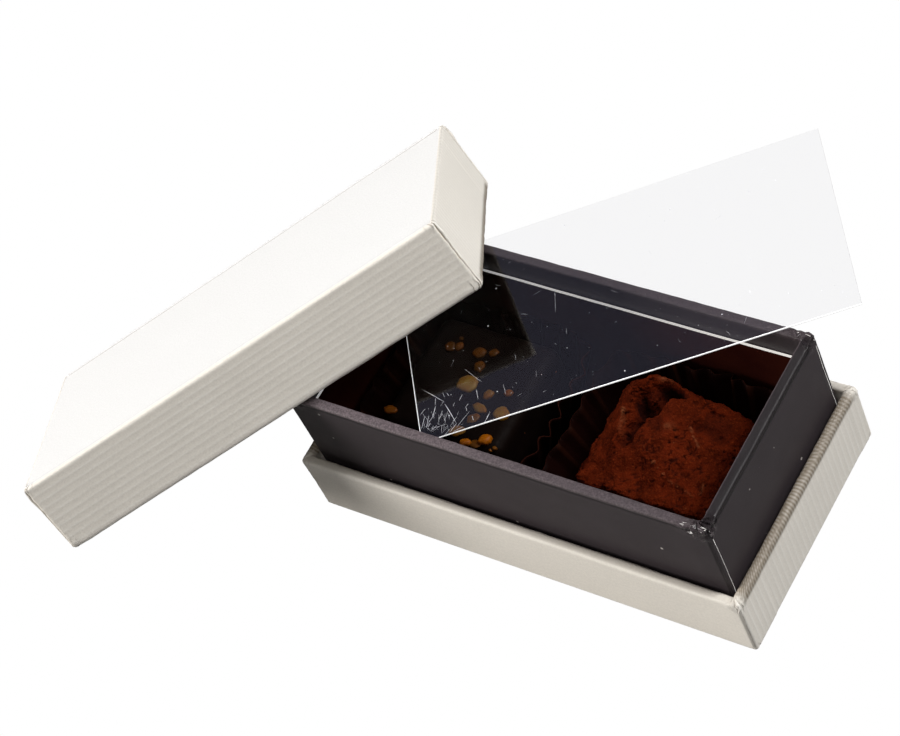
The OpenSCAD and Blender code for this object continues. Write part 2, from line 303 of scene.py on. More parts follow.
class FoldedSheet:
    """A sheet folded over a rectangle: an optional floor, then walls that follow a section."""

    def __init__(self, length, width, path, xs, ys, corner, start_floor=True, end_floor=False):
        self.half = (length / 2, width / 2)
        self.corner = corner
        self.path = path
        self.loop = self.outline(xs, ys)
        self.run = [0.0]
        for a, b in zip(path, path[1:]):
            self.run.append(self.run[-1] + math.dist(a, b))
        self.points, self.side, self.level = [], [], []
        for level, (inset, height) in enumerate(path):
            for x, y, side in self.loop:
                self.points.append((*self.rounded(x, y, inset), height))
                self.side.append(side)
                self.level.append(level)
        self.faces, self.uv = [], []
        self.add_walls()
        if start_floor:
            self.add_floor(xs, ys, 0, up=False)
        if end_floor:
            self.add_floor(xs, ys, len(path) - 1, up=True)

    @staticmethod
    def outline(xs, ys):
        """Points round the rectangle as x, y and side."""
        left, right, front, back = xs[0], xs[-1], ys[0], ys[-1]
        return ([(x, front, FRONT) for x in xs[:-1]] + [(right, y, RIGHT) for y in ys[:-1]]
                + [(x, back, BACK) for x in reversed(xs[1:])]
                + [(left, y, LEFT) for y in reversed(ys[1:])])

    def rounded(self, x, y, inset):
        """A point of the outline moved in by an inset, with its upright corner rounded."""
        half_x, half_y = self.half[0] - inset, self.half[1] - inset
        x, y = x * half_x / self.half[0], y * half_y / self.half[1]
        radius = max(self.corner - inset, self.corner / 3)
        over_x, over_y = abs(x) - (half_x - radius), abs(y) - (half_y - radius)
        if over_x > 0 and over_y > 0:
            scale = max(over_x, over_y) / math.hypot(over_x, over_y)
            x = math.copysign(half_x - radius + over_x * scale, x)
            y = math.copysign(half_y - radius + over_y * scale, y)
        return x, y

    def paper_place(self, x, y, side, run):
        """Where a point of a wall lies on the flat paper."""
        half_x, half_y = self.half
        if side in (FRONT, BACK):
            return x, (half_y + run) * (1 if side == BACK else -1)
        return (half_x + run) * (1 if side == RIGHT else -1), y

    def add_walls(self):
        """Faces all round from each level to the next, with their places on the flat paper."""
        self.faces += band_faces(0, len(self.loop), len(self.path) - 1)
        for run, next_run in zip(self.run, self.run[1:]):
            for (x, y, side), (next_x, next_y, _) in zip(self.loop, self.loop[1:] + self.loop[:1]):
                self.uv += [self.paper_place(x, y, side, run),
                            self.paper_place(next_x, next_y, side, run),
                            self.paper_place(next_x, next_y, side, next_run),
                            self.paper_place(x, y, side, next_run)]

    def add_floor(self, xs, ys, level, up):
        """Closes the outline at one level with a grid."""
        inset, height = self.path[level]
        base = level * len(self.loop)
        place = {(x, y): base + i for i, (x, y, _) in enumerate(self.loop)}
        for x in xs[1:-1]:
            for y in ys[1:-1]:
                place[x, y] = len(self.points)
                self.points.append((x * (1 - inset / self.half[0]),
                                    y * (1 - inset / self.half[1]), height))
                self.side.append(-1)
                self.level.append(level)
        for x, next_x in zip(xs, xs[1:]):
            for y, next_y in zip(ys, ys[1:]):
                ring = [(x, y), (next_x, y), (next_x, next_y), (x, next_y)]
                if not up:
                    ring.reverse()
                self.faces.append(tuple(place[c] for c in ring))
                self.uv += ring

    def places(self):
        """Each point's place, side, run along the section, and distances from the outline."""
        at = SimpleNamespace(points=np.array(self.points), side=np.array(self.side),
                             run=np.array([self.run[k] for k in self.level]))
        at.x, at.y, at.z = at.points.T
        at.floor = at.side < 0
        at.end_side = (at.side == RIGHT) | (at.side == LEFT)
        at.long_side = (at.side == FRONT) | (at.side == BACK)
        at.from_x, at.from_y = self.half[0] - np.abs(at.x), self.half[1] - np.abs(at.y)
        at.to_corner = np.where(at.end_side, at.from_y, at.from_x)
        at.inset = np.where(at.end_side, at.from_x, at.from_y)
        return at


def solidify(made, thickness_mm):
    """Gives a surface its thickness, inwards from the side it shows."""
    shell = made.modifiers.new("Thickness", "SOLIDIFY")
    shell.thickness = thickness_mm * MM
    shell.offset = -1
    shell.use_even_offset = False
    return made


def rib_rise(values, pitch):
    """Rib height from 0 to 1 across the paper."""
    return ((1 + np.cos(2 * math.pi * values / pitch)) / 2) ** 1.5


# Where the loose pieces lie, read from the frame's own corners
def corner_frame(node, sizes):
    """Lowest corner of a box-shaped node, and its axes along the given sizes."""
    points = np.array([v.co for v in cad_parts[node].data.vertices]) / MM
    foot = points[points[:, 2].argmin()]
    away = np.linalg.norm(points - foot, axis=1)
    axes = []
    for size in sizes:
        end = points[np.abs(away - size).argmin()]
        axes.append((end - foot) / np.linalg.norm(end - foot))
    return foot, axes


def placed(axes, origin):
    """Matrix that places a piece by its three axes and its origin."""
    made = Matrix(np.column_stack(axes).tolist()).to_4x4()
    made.translation = Vector((origin * MM).tolist())
    return made


def lid_matrix():
    """Places a tray-shaped piece, floor down, as the lid that leans over the neck."""
    foot, (along, across, up) = corner_frame("lid_wrap", (BOX_LEN, BOX_WID, TRAY_H))
    middle = foot + along * BOX_LEN / 2 + across * BOX_WID / 2 + up * TRAY_H
    return placed([along, across, -up], middle)


def sheet_matrix():
    """Places a piece drawn on the flat sheet, from the sheet's front corner."""
    foot, axes = corner_frame("clear_sheet", (SHEET_LEN, SHEET_WID, SHEET_T))
    return placed(axes, foot)


# Shader helpers
def feed(tree, node, values):
    """Gives each input of a node a value or another node's output."""
    for socket, value in values.items():
        if isinstance(value, bpy.types.NodeSocket):
            tree.links.new(value, node.inputs[socket])
        else:
            node.inputs[socket].default_value = value


def add(tree, kind, values=None, **settings):
    """Adds a shader node with its settings and what its inputs get."""
    made = tree.nodes.new(kind)
    for name, value in settings.items():
        setattr(made, name, value)
    feed(tree, made, values or {})
    return made


def calc(tree, operation, *values, clamp=False):
    """Result of a sum or product of numbers and outputs."""
    return add(tree, "ShaderNodeMath", dict(enumerate(values)), operation=operation,
               use_clamp=clamp).outputs[0]


def mask(tree, name):
    """One of the numbers that a mesh keeps for each point."""
    return add(tree, "ShaderNodeAttribute", attribute_name=name).outputs["Fac"]


def rgb(colour, share=1.0):
    """A colour as three numbers, or a darker share of it."""
    return tuple(share * c for c in colour)


def blend_colour(tree, share, first, second, mode="MIX"):
    """Mixes two colours, each three numbers or another node's output."""
    first, second = ((*c, 1) if isinstance(c, tuple) else c for c in (first, second))
    return add(tree, "ShaderNodeMix", {0: share, 6: first, 7: second}, data_type="RGBA",
               blend_type=mode).outputs[2]


def layered(tree, base, *layers):
    """Lays colours over a base one after the other, each where its own mask shows it."""
    for share, colour in layers:
        base = blend_colour(tree, share, base, colour)
    return base


def spread(tree, value, low, high, to_low, to_high):
    """Maps a value from one range to another, held at its ends."""
    return add(tree, "ShaderNodeMapRange",
               {0: value, 1: low, 2: high, 3: to_low, 4: to_high}, clamp=True).outputs[0]


FLOAT, VECTOR = "NodeSocketFloat", "NodeSocketVector"


def shader_group(name, inputs, outputs):
    """A new shader node group with named sockets, and its input and output nodes."""
    made = bpy.data.node_groups.new(name, "ShaderNodeTree")
    for label, kind, default in inputs:
        socket = made.interface.new_socket(name=label, in_out="INPUT", socket_type=kind)
        if default is not None:
            socket.default_value = default
    for label, kind in outputs:
        made.interface.new_socket(name=label, in_out="OUTPUT", socket_type=kind)
    return made, made.nodes.new("NodeGroupInput").outputs, made.nodes.new("NodeGroupOutput").inputs


def build_grain_group():
    """Fine fibres and slow blotches of paper and board."""
    tree, given, out = shader_group(
        "Grain", [("Vector", VECTOR, None), ("Fibre scale", FLOAT, 2500.0),
                  ("Blotch scale", FLOAT, 90.0)],
        [("Fibres", FLOAT), ("Blotches", FLOAT)])
    fine = add(tree, "ShaderNodeTexNoise", {"Vector": given[0], "Scale": given[1], "Detail": 3.0,
                                            "Roughness": 0.6})
    slow = add(tree, "ShaderNodeTexNoise", {"Vector": given[0], "Scale": given[2], "Detail": 2.0})
    tree.links.new(fine.outputs[0], out[0])
    tree.links.new(slow.outputs[0], out[1])
    return tree


def build_dust_group():
    """Scattered specks: a mask that is 1 on each speck."""
    tree, given, out = shader_group(
        "Dust", [("Vector", VECTOR, None), ("Scale", FLOAT, 400.0), ("Size", FLOAT, 0.12),
                 ("Amount", FLOAT, 0.1)],
        [("Mask", FLOAT)])
    cells = add(tree, "ShaderNodeTexVoronoi", {"Vector": given[0], "Scale": given[1]})
    parts = add(tree, "ShaderNodeSeparateColor", {0: cells.outputs["Color"]})
    size = calc(tree, "MULTIPLY", parts.outputs[1], given[2])
    near = calc(tree, "LESS_THAN", cells.outputs["Distance"], size)
    kept = calc(tree, "LESS_THAN", parts.outputs[0], given[3])
    tree.links.new(calc(tree, "MULTIPLY", near, kept), out[0])
    return tree


def build_wear_group():
    """Rubbed edges: the mesh's own fold mask, broken up by noise; on the neck that mask is a
    painted sheen.
    """
    tree, given, out = shader_group(
        "Edge wear", [("Vector", VECTOR, None), ("Scale", FLOAT, 500.0), ("Amount", FLOAT, 0.5)],
        [("Mask", FLOAT)])
    broken = add(tree, "ShaderNodeTexNoise", {"Vector": given[0], "Scale": given[1],
                                              "Detail": 4.0}).outputs[0]
    rubbed = spread(tree, broken, 0.35, 0.7, 0.25, 1.0)
    worn = calc(tree, "MULTIPLY", mask(tree, "fold"), rubbed)
    worn = calc(tree, "MULTIPLY", worn, given[2], clamp=True)
    tree.links.new(worn, out[0])
    return tree


def build_rib_group():
    """Ribs of the paper, as a height and a mask of the thin crest lines."""
    tree, given, out = shader_group(
        "Paper ribs", [("Paper place", VECTOR, None), ("Pitch", FLOAT, 1.5)],
        [("Height", FLOAT), ("Crest", FLOAT)])
    across = add(tree, "ShaderNodeSeparateXYZ", {0: given[0]}).outputs[1]
    turn = calc(tree, "MULTIPLY", calc(tree, "DIVIDE", across, given[1]), 2 * math.pi)
    wave = calc(tree, "MULTIPLY_ADD", calc(tree, "COSINE", turn), 0.5, 0.5)
    tree.links.new(calc(tree, "POWER", wave, 1.5), out[0])
    tree.links.new(calc(tree, "POWER", wave, 6.0), out[1])
    return tree


GROUPS = {}


def group_node(tree, name, links):
    """Places one of the shared effects in a material."""
    makers = {"Grain": build_grain_group, "Dust": build_dust_group,
              "Edge wear": build_wear_group, "Paper ribs": build_rib_group}
    if name not in GROUPS:
        GROUPS[name] = makers[name]()
    return add(tree, "ShaderNodeGroup", links, node_tree=GROUPS[name]).outputs


def grain_of(tree, place, fibre_scale, blotch_scale):
    """Fibres and blotches of a piece."""
    return group_node(tree, "Grain", {"Vector": place, "Fibre scale": fibre_scale,
                                      "Blotch scale": blotch_scale})


def specks_of(tree, place, scale, size, amount):
    """Mask of the specks on a piece."""
    return group_node(tree, "Dust", {"Vector": place, "Scale": scale, "Size": size,
                                     "Amount": amount})[0]


def wear_of(tree, place, scale, amount):
    """Mask of a piece's rubbed edges."""
    return group_node(tree, "Edge wear", {"Vector": place, "Scale": scale,
                                          "Amount": amount})[0]


def empty_tree(owner):
    """The shader tree of a material or world, with nothing in it."""
    owner.use_nodes = True
    owner.node_tree.nodes.clear()
    return owner.node_tree


def new_material(name):
    """A material with a fresh tree, its Principled shader and its object coordinates."""
    made = bpy.data.materials.new(name)
    tree = empty_tree(made)
    shader = tree.nodes.new("ShaderNodeBsdfPrincipled")
    out = tree.nodes.new("ShaderNodeOutputMaterial")
    tree.links.new(shader.outputs[0], out.inputs[0])
    place = add(tree, "ShaderNodeTexCoord").outputs["Object"]
    return made, tree, shader, place


def set_bump(tree, shader, height, distance_mm, strength=1.0):
    """Fine relief from a height, whose full step is given in millimetres."""
    made = add(tree, "ShaderNodeBump", {"Height": height, "Distance": distance_mm * MM,
                                        "Strength": strength})
    tree.links.new(made.outputs[0], shader.inputs["Normal"])


# Colours of worn places, dust, blotches and cut edges, and of painted shade and painted highlights
PAPER_WORN, PAPER_SPECK = (0.93, 0.91, 0.87), (0.25, 0.20, 0.15)
PAPER_SEAM_SHADE, PAPER_RIM_SHADE = (0.11, 0.068, 0.038), (0.17, 0.135, 0.095)
NECK_SPECK, NECK_CREASE_SHADE = (0.45, 0.42, 0.40), (0.004, 0.0035, 0.004)
BROWN_CREST_HIGHLIGHT, BROWN_SPECK = (0.020, 0.0055, 0.0025), (0.16, 0.05, 0.02)
CARD_LIGHT, CUP_LIGHT = (0.032, 0.006, 0.003), (0.007, 0.0014, 0.0009)
NUT_ROAST_SHADE, NUT_BLOTCH = (0.036, 0.013, 0.0012), (0.13, 0.034, 0.004)
FILM_EDGE, SCRATCH = (0.90, 0.92, 0.94), (0.75, 0.77, 0.84)


def ribbed_paper(colours, sizes):
    """Cream paper: rib crests painted pale as highlights, a flat panel painted cool white as
    painted light, worn edges, seams, dust, and painted shade in folds, on rims and at the foot.
    """
    made, tree, shader, place = new_material("Ribbed cream paper")
    flat = add(tree, "ShaderNodeUVMap", uv_map="paper").outputs[0]
    ribs = group_node(tree, "Paper ribs", {"Paper place": flat, "Pitch": sizes.rib_pitch / MM})
    grain = grain_of(tree, place, 2600.0, 120.0)
    panel = mask(tree, "panel")
    ribbed = calc(tree, "SUBTRACT", 1.0, calc(tree, "MULTIPLY", mask(tree, "calm"), 0.85))
    # Crest lines painted pale as highlights, weaker on the tray's front.
    crest = calc(tree, "MULTIPLY", ribs[1], spread(tree, grain[1], 0.3, 0.7, 0.35, 0.8))
    crest = calc(tree, "MULTIPLY", crest, ribbed)
    mottled = spread(tree, grain[0], 0.3, 0.7, 0.93, 1.05)
    shade = add(tree, "ShaderNodeCombineColor", {0: mottled, 1: mottled, 2: mottled}).outputs[0]
    base = layered(tree, rgb(colours.paper), (crest, rgb(colours.paper_crest_highlight)),
                   (panel, rgb(colours.panel)))
    base = blend_colour(tree, 1.0, base, shade, "MULTIPLY")
    specks = specks_of(tree, place, 260.0, 0.10, 0.05)
    dusty = calc(tree, "MULTIPLY", specks, calc(tree, "SUBTRACT", 1.0, panel), clamp=True)
    # The seam mask darkens the open seams and the panel's crease line, and paints shade into fold
    # valleys and along the front's foot.
    seam = calc(tree, "MULTIPLY", mask(tree, "seam"), 0.9, clamp=True)
    base = layered(tree, base, (wear_of(tree, place, 900.0, 0.35), PAPER_WORN),
                   (dusty, PAPER_SPECK), (seam, PAPER_SEAM_SHADE), (mask(tree, "rim_shade"), PAPER_RIM_SHADE))
    feed(tree, shader, {"Base Color": base,
                        "Roughness": spread(tree, grain[0], 0.2, 0.8, 0.48, 0.66)})
    height = calc(tree, "MULTIPLY_ADD", grain[0], 0.35, calc(tree, "MULTIPLY", ribs[0], ribbed))
    set_bump(tree, shader, height, 0.012, 0.8)
    return made


def plain_paper(name, colour, roughness, fibre_scale, depth_mm):
    """Smooth paper or board with fibres and blotches."""
    made, tree, shader, place = new_material(name)
    grain = grain_of(tree, place, fibre_scale, 80.0)
    base = layered(tree, rgb(colour),
                   (spread(tree, grain[1], 0.3, 0.7, 0.0, 0.6), rgb(colour, 0.72)),
                   (spread(tree, grain[0], 0.58, 0.72, 0.0, 0.5), rgb(colour, 0.55)))
    rough = spread(tree, grain[0], 0.2, 0.8, roughness - 0.08, roughness + 0.08)
    feed(tree, shader, {"Base Color": base, "Roughness": rough})
    set_bump(tree, shader, grain[0], depth_mm)
    return made


def black_paper(colours):
    """Charcoal paper with a sheen painted pale on its rims, painted shade in its creases and on its
    end rims, and glossier where it is crushed.
    """
    made, tree, shader, place = new_material("Charcoal neck paper")
    grain = grain_of(tree, place, 5200.0, 60.0)
    worn = rgb(colours.neck_worn_and_sheen)
    base = layered(tree, rgb(colours.neck),
                   (spread(tree, grain[0], 0.35, 0.75, 0.0, 0.12), worn),
                   (wear_of(tree, place, 3000.0, 1.0), worn),
                   (specks_of(tree, place, 420.0, 0.13, 0.05), NECK_SPECK),
                   (mask(tree, "seam"), NECK_CREASE_SHADE))
    crushed = calc(tree, "MULTIPLY", mask(tree, "crush"), 0.32)
    rough = calc(tree, "SUBTRACT", spread(tree, grain[1], 0.3, 0.7, 0.44, 0.55), crushed,
                 clamp=True)
    feed(tree, shader, {"Base Color": base, "Roughness": rough, "Specular IOR Level": 0.22})
    set_bump(tree, shader, grain[0], 0.02)
    return made


def glossy_brown(name, colour, lighter, roughness, gloss, depth_mm, scale):
    """Dark brown card, cup paper or coating, with a soft sheen."""
    made, tree, shader, place = new_material(name)
    grain = grain_of(tree, place, scale, 140.0)
    # Fold crests, marked only on the cups, get a painted highlight.
    base = layered(tree, rgb(colour),
                   (spread(tree, grain[1], 0.35, 0.65, 0.0, 0.7), rgb(lighter)),
                   (mask(tree, "fold"), BROWN_CREST_HIGHLIGHT),
                   (specks_of(tree, place, 520.0, 0.13, 0.03), BROWN_SPECK))
    rough = spread(tree, grain[0], 0.25, 0.75, roughness - 0.08, roughness + 0.1)
    feed(tree, shader, {"Base Color": base, "Roughness": rough, "Specular IOR Level": gloss})
    set_bump(tree, shader, grain[0], depth_mm)
    return made


def cocoa_powder(colours):
    """Dry red-brown powder in small clumps, with painted shade in its hollows and bare ganache on
    the lips, partly painted highlight.
    """
    made, tree, shader, place = new_material("Cocoa powder")
    grain = grain_of(tree, place, 2600.0, 260.0)
    clumps = add(tree, "ShaderNodeTexVoronoi", {"Vector": place, "Scale": 2600.0})
    base = layered(tree, rgb(colours.cocoa),
                   (spread(tree, grain[1], 0.40, 0.60, 0.0, 0.75), rgb(colours.cocoa, 0.52)),
                   (spread(tree, grain[0], 0.52, 0.72, 0.0, 0.6), rgb(colours.cocoa_light)),
                   (mask(tree, "hollow"), rgb(colours.cocoa_hollow_shade)),
                   (mask(tree, "pale"), rgb(colours.crust_and_highlight)))
    feed(tree, shader, {"Base Color": base, "Roughness": 0.9, "Specular IOR Level": 0.02})
    height = calc(tree, "MULTIPLY_ADD", clumps.outputs["Distance"], 0.6, grain[0])
    set_bump(tree, shader, height, 0.22)
    return made


def nut_material(colours):
    """Candied nuts between orange and olive, some of them roasted dark and those in the lid's
    shadow painted dark as shade.
    """
    made, tree, shader, place = new_material("Candied nuts")
    grain = grain_of(tree, place, 1400.0, 600.0)
    base = layered(tree, rgb(colours.nut), (mask(tree, "tint"), rgb(colours.nut_pale)),
                   (mask(tree, "roast_and_shade"), NUT_ROAST_SHADE),
                   (spread(tree, grain[1], 0.4, 0.7, 0.0, 0.6), NUT_BLOTCH))
    feed(tree, shader, {"Base Color": base, "Specular IOR Level": 0.12,
                        "Roughness": spread(tree, grain[0], 0.3, 0.7, 0.34, 0.5)})
    set_bump(tree, shader, grain[0], 0.06)
    return made


def clear_film(colours):
    """Clear plastic: mostly see-through, with the room mirrored faintly in each face."""
    made, tree, shader, _ = new_material("Clear sheet")
    feed(tree, shader, {"Base Color": (1, 1, 1, 1), "Metallic": 1.0, "Roughness": 0.03})
    through = add(tree, "ShaderNodeBsdfTransparent", {0: (*rgb(colours.film), 1)}).outputs[0]
    slant = add(tree, "ShaderNodeLayerWeight", {"Blend": 0.5}).outputs["Facing"]
    mirror = calc(tree, "MULTIPLY_ADD", calc(tree, "POWER", slant, 5.0), 0.96, 0.042)
    mixed = add(tree, "ShaderNodeMixShader", {0: mirror, 1: through, 2: shader.outputs[0]})
    tree.links.new(mixed.outputs[0], tree.nodes["Material Output"].inputs[0])
    return made


def white_edge(name, colour, roughness, scale, glow=0.0, gloss=0.5):
    """Frosted or fibrous white of a cut edge; glow is painted light, an emission that stands for
    the light a clear sheet gathers and, on the card's core, for a painted highlight.
    """
    made, tree, shader, place = new_material(name)
    grain = grain_of(tree, place, scale, 200.0)
    blotched = spread(tree, grain[1], 0.3, 0.7, 0.0, 0.5)
    feed(tree, shader, {"Base Color": layered(tree, rgb(colour), (blotched, rgb(colour, 0.8))),
                        "Roughness": roughness, "Emission Color": (1, 1, 1, 1),
                        "Emission Strength": glow, "Specular IOR Level": gloss})
    set_bump(tree, shader, grain[0], 0.03)
    return made


MATERIALS = {}


def material_for(key):
    """Each finish of the box, built the first time that it is asked for."""
    sizes, colours = bpy.context.scene.box_sizes, bpy.context.scene.box_colours
    makers = {
        "paper": lambda: ribbed_paper(colours, sizes),
        "greyboard": lambda: plain_paper("Greyboard", colours.greyboard, 0.88, 900.0, 0.08),
        "tape": lambda: plain_paper("Brown tape", colours.tape, 0.6, 1200.0, 0.02),
        "lining": lambda: plain_paper("Lining paper", colours.lining, 0.6, 1500.0, 0.02),
        "neck": lambda: black_paper(colours),
        "card": lambda: glossy_brown("Dark card", colours.card, CARD_LIGHT, 0.5, 0.08, 0.03,
                                     1500.0),
        # The card's core glows: a painted highlight.
        "core": lambda: white_edge("White card core", colours.card_core, 0.8, 1500.0, 0.32),
        "cup": lambda: glossy_brown("Pleated cup paper", colours.cup, CUP_LIGHT, 0.6, 0.02, 0.02,
                                    1200.0),
        "cup edge": lambda: white_edge("Cut edge of the cups", colours.cup_edge, 0.8, 1500.0,
                                       gloss=0.05),
        "chocolate": lambda: glossy_brown("Dark chocolate", colours.chocolate, colours.bloom,
                                          0.6, 0.045, 0.05, 700.0),
        "cocoa": lambda: cocoa_powder(colours),
        "nut": lambda: nut_material(colours),
        "film": lambda: clear_film(colours),
        # The sheet's cut edge glows: painted light for the light that the sheet gathers.
        "film edge": lambda: white_edge("Cut edge of the sheet", FILM_EDGE, 0.35, 800.0, 0.62),
        # Scratches glow faintly: painted glints.
        "scratch": lambda: white_edge("Scratches", SCRATCH, 0.5, 900.0, 0.05),
    }
    if key not in MATERIALS:
        MATERIALS[key] = makers[key]()
    return MATERIALS[key]


# Pieces
# Distances from an edge at which points stand, close together where the paper folds
NEAR_CORNER = (0.0, 0.14, 0.28, 0.42, 0.56, 0.7, 0.9, 1.1, 1.25, 1.4, 1.5, 1.625)
NEAR_END = NEAR_CORNER + (1.9, 2.3, 2.8, 3.4)


# Relief of the covering paper: glued tabs, creases with a lip, slow waves, gathered folds
TAB_STEP, CREASE_DEPTH, CREASE_LIP = 0.08, 0.12, 0.05
SLOW_WAVE, RIM_WAVE = 0.06, 0.08
RIM_FOLD, RIM_CRUSH = 0.26, 0.10
FOOT_FOLD, FOOT_CRUSH = 0.12, 0.06
# Width and depth of the open seam beside a corner: a lid's wide one, a tray's narrow one
WIDE_SEAM, NARROW_SEAM = (0.09, 0.22), (0.05, 0.04)
# Relief of the neck's paper: creases under its rims, bent zones, waves, crumpled corners
LONG_CREASE, END_CREASE = 0.10, 0.03
BENT_BACK, BENT_LIP = 0.20, 0.04
NECK_WAVE, NECK_FOLD, NECK_CRUSH = 0.05, 0.90, 0.18
# How far the neck's rim slopes down outwards at its ends, its back and its front
END_SLOPE, BACK_SLOPE, FRONT_SLOPE = 0.30, 0.2, 0.04


def in_mm(*names):
    """Sizes that a user may change, in millimetres."""
    return [getattr(bpy.context.scene.box_sizes, name) / MM for name in names]


def finish_piece(made, finishes, body, nodes=()):
    """Gives a piece its materials and body, and hides the frame nodes that it stands for."""
    for key in finishes:
        made.data.materials.append(material_for(key))
    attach(made, body)
    if nodes:
        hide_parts(*nodes)


def gathers(from_x, from_y, drop, reach, folds, turn):
    """Small folds that fan out round a corner: how near each point is, and its fold's height."""
    heart, fan = 0.6, 1.9
    away = np.sqrt((from_x - heart) ** 2 + (from_y - heart) ** 2 + drop ** 2)
    angle = np.arctan2(fan - from_y, fan - from_x) / (math.pi / 2)
    wave = (angle * folds + turn + 0.12 * np.sin(3 * drop)) % 1
    return np.clip(1 - away / reach, 0, 1), wave ** 1.4


def corner_seam(at, height, wall, flap):
    """The open seam beside each upright corner, as relief and mask. With flap, the long sides'
    paper shows beside it as a strip."""
    wide, deep = WIDE_SEAM if flap else NARROW_SEAM
    beside = at.from_y - at.from_x
    bend = 0.05 * np.sin(1.1 * at.z + 2 * np.sign(at.x)) + 0.04 * np.sin(2.9 * at.z)
    below_rim = 1 - smooth_step(height - 1.5, height, at.z)
    place = 0.05 + (0.28 * (at.z / height) ** 2 + bend) * below_rim
    seam = bump_at(beside, place, wide) * ~at.floor * (np.minimum(at.from_x, at.from_y) < 2.4)
    relief = -deep * seam
    if flap:
        strip = smooth_step(0.1, 0.3, beside) * (1 - smooth_step(1.1, 1.25, beside))
        bulge = 0.12 + 0.22 * bump_at(at.z, 2.6, 1.6)
        relief += np.where(at.end_side, bulge * strip * wall, 0)
        seam = np.maximum(seam, 0.4 * at.end_side * wall * bump_at(beside, 1.25, 0.07))
    return relief, seam


def rim_painted_shade(at, height, across, rib_pitch, patchy):
    """Painted shade on the rims, for the shade that the neck casts: ribs painted dark on the end
    rims, the long rims darkened evenly, and a brown line of dust and painted shade along every
    rim's inner edge.
    """
    uneven = across + 0.22 * cloud(at.points, 0.5, 2, 12.0)
    valley = 0.60 + 0.36 * (1 - rib_rise(uneven, rib_pitch / 2))
    # Painted shade: dark in the rib valleys over the end rims, even over the long rims.
    rubbed = np.maximum(1.1 * at.end_side * valley * smooth_step(0.6, 3.5, at.from_y),
                        0.36 * at.long_side * smooth_step(0.15, 0.5, at.from_y))
    # A brown line along every rim's inner edge: dust, and painted shade where the rim meets the
    # neck.
    dust = 0.8 * patchy * bump_at(at.inset, 1.85, 0.25)
    # Kept to the rim's top, where the painted shade lies.
    worn = smooth_step(height - 1.9, height - 1.1, at.z)
    return worn * ~at.floor * np.clip(np.maximum(rubbed, dust), 0, 1)


def shape_wrap(made, sheet, height, flap):
    """Ribs, overlaps, seams, slow waves and gathered corners of a covering paper."""
    rib_height, rib_pitch = in_mm("rib_height", "rib_pitch")
    at = sheet.places()
    normals = mesh_normals(made)
    across = np.where(at.long_side, sheet.half[1] + at.run, at.y)
    rim = smooth_step(height - 1.4, height - 0.7, at.z) * ~at.floor
    wall = smooth_step(0.2, 1.0, at.z) * (at.z < height - 0.5) * ~at.floor
    patchy = np.clip(0.8 + 0.6 * cloud(at.points, 0.08, 2, 6.0), 0.5, 1)
    # Ribs stop just short of the corners and are pressed flatter on the tray's front
    in_front = at.long_side & (at.y < 0)
    calm = in_front & (not flap)
    clear = np.where(at.floor, 1, smooth_step(0.2, 1.3, at.to_corner))
    swell = (1 + 0.5 * at.end_side) * np.where(calm, 0.4, 1)
    lift = rib_height * rib_rise(across, rib_pitch) * clear * swell
    # Glued-down tabs of the long sides show through the end papers as steps
    front_tab = 1 - smooth_step(4.2, 4.9, sheet.half[1] - at.y)
    back_tab = 1 - smooth_step(7.9, 8.6, sheet.half[1] + at.y)
    lift += np.where(at.end_side, TAB_STEP * (front_tab + back_tab), 0)
    seam_relief, open_seam = corner_seam(at, height, wall, flap)
    lift += seam_relief
    # The flat panel's paper dips along its folded long edges, most along the front one
    crease = bump_at(at.from_y, 1.42, 0.15) * at.floor * patchy * smooth_step(0.5, 2.0, at.from_x)
    crease *= np.where(at.y < 0, 1, 0.25)
    lift -= CREASE_DEPTH * crease
    lift += CREASE_LIP * at.floor * bump_at(at.from_y, 0.8, 0.4)
    # Slow waves of the paper
    lift += SLOW_WAVE * cloud(at.points, 0.09, 2, 3.1) * np.where(at.floor, 1, wall)
    lift += RIM_WAVE * rim * cloud(at.points, 0.35, 3, 9.0)
    # Gathered folds at the rim's corners, and smaller ones at the foot
    to_rim, to_foot = height - 0.7 - at.z, at.z - 0.1
    near, fold_up = gathers(at.from_x, at.from_y, to_rim, reach=2.9, folds=3.2, turn=0.2)
    near *= np.where(at.x < 0, 0.35, 1)
    near_foot, fold_foot = gathers(at.from_x, at.from_y, to_foot, reach=2.1, folds=2.4, turn=0.5)
    rough = creases(at.points, 0.9, 4.0)
    lift += near * (RIM_FOLD * (fold_up - 0.35) + RIM_CRUSH * rough)
    lift += near_foot * (FOOT_FOLD * (fold_foot - 0.35) + FOOT_CRUSH * rough)
    set_points(made, at.points + normals * lift[:, None])
    # Valleys of the gathered folds, painted dark as shade.
    pinch = np.maximum(near * (fold_up < 0.12), near_foot * (fold_foot < 0.12))
    edge = bump_at(np.minimum(at.from_x, at.from_y), 0.0, 0.5) * at.floor
    # Along the foot of the front: a painted contact shadow on the tray, and on the lid the brown
    # line of its top's front edge.
    brown_edge_and_contact_shadow = 0.55 * patchy * bump_at(at.z, 0.30, 0.16) * in_front
    set_mask(made, "fold", np.maximum.reduce([edge, 0.7 * rim, 0.8 * near, 0.8 * near_foot]))
    # Seam mask: open seams and the panel's crease line, with painted shade in the fold valleys and
    # along the front's foot.
    set_mask(made, "seam", np.maximum.reduce([(1.0 if flap else 0.6) * open_seam,
                                              0.95 * crease, 0.8 * pinch, brown_edge_and_contact_shadow]))
    # The panel mask also carries the panel's painted light colour.
    set_mask(made, "panel", smooth_step(0.1, 0.4, at.from_y) * at.floor)
    set_mask(made, "calm", 1.0 * calm)
    set_mask(made, "rim_shade", rim_painted_shade(at, height, across, rib_pitch, patchy))
    return np.maximum(near, near_foot)


def flat_shade_where(made, values, limit):
    """Leaves sharp facets where the values of all a face's points pass a limit."""
    flat = values > limit
    for face in made.data.polygons:
        if all(flat[v] for v in face.vertices):
            face.use_smooth = False


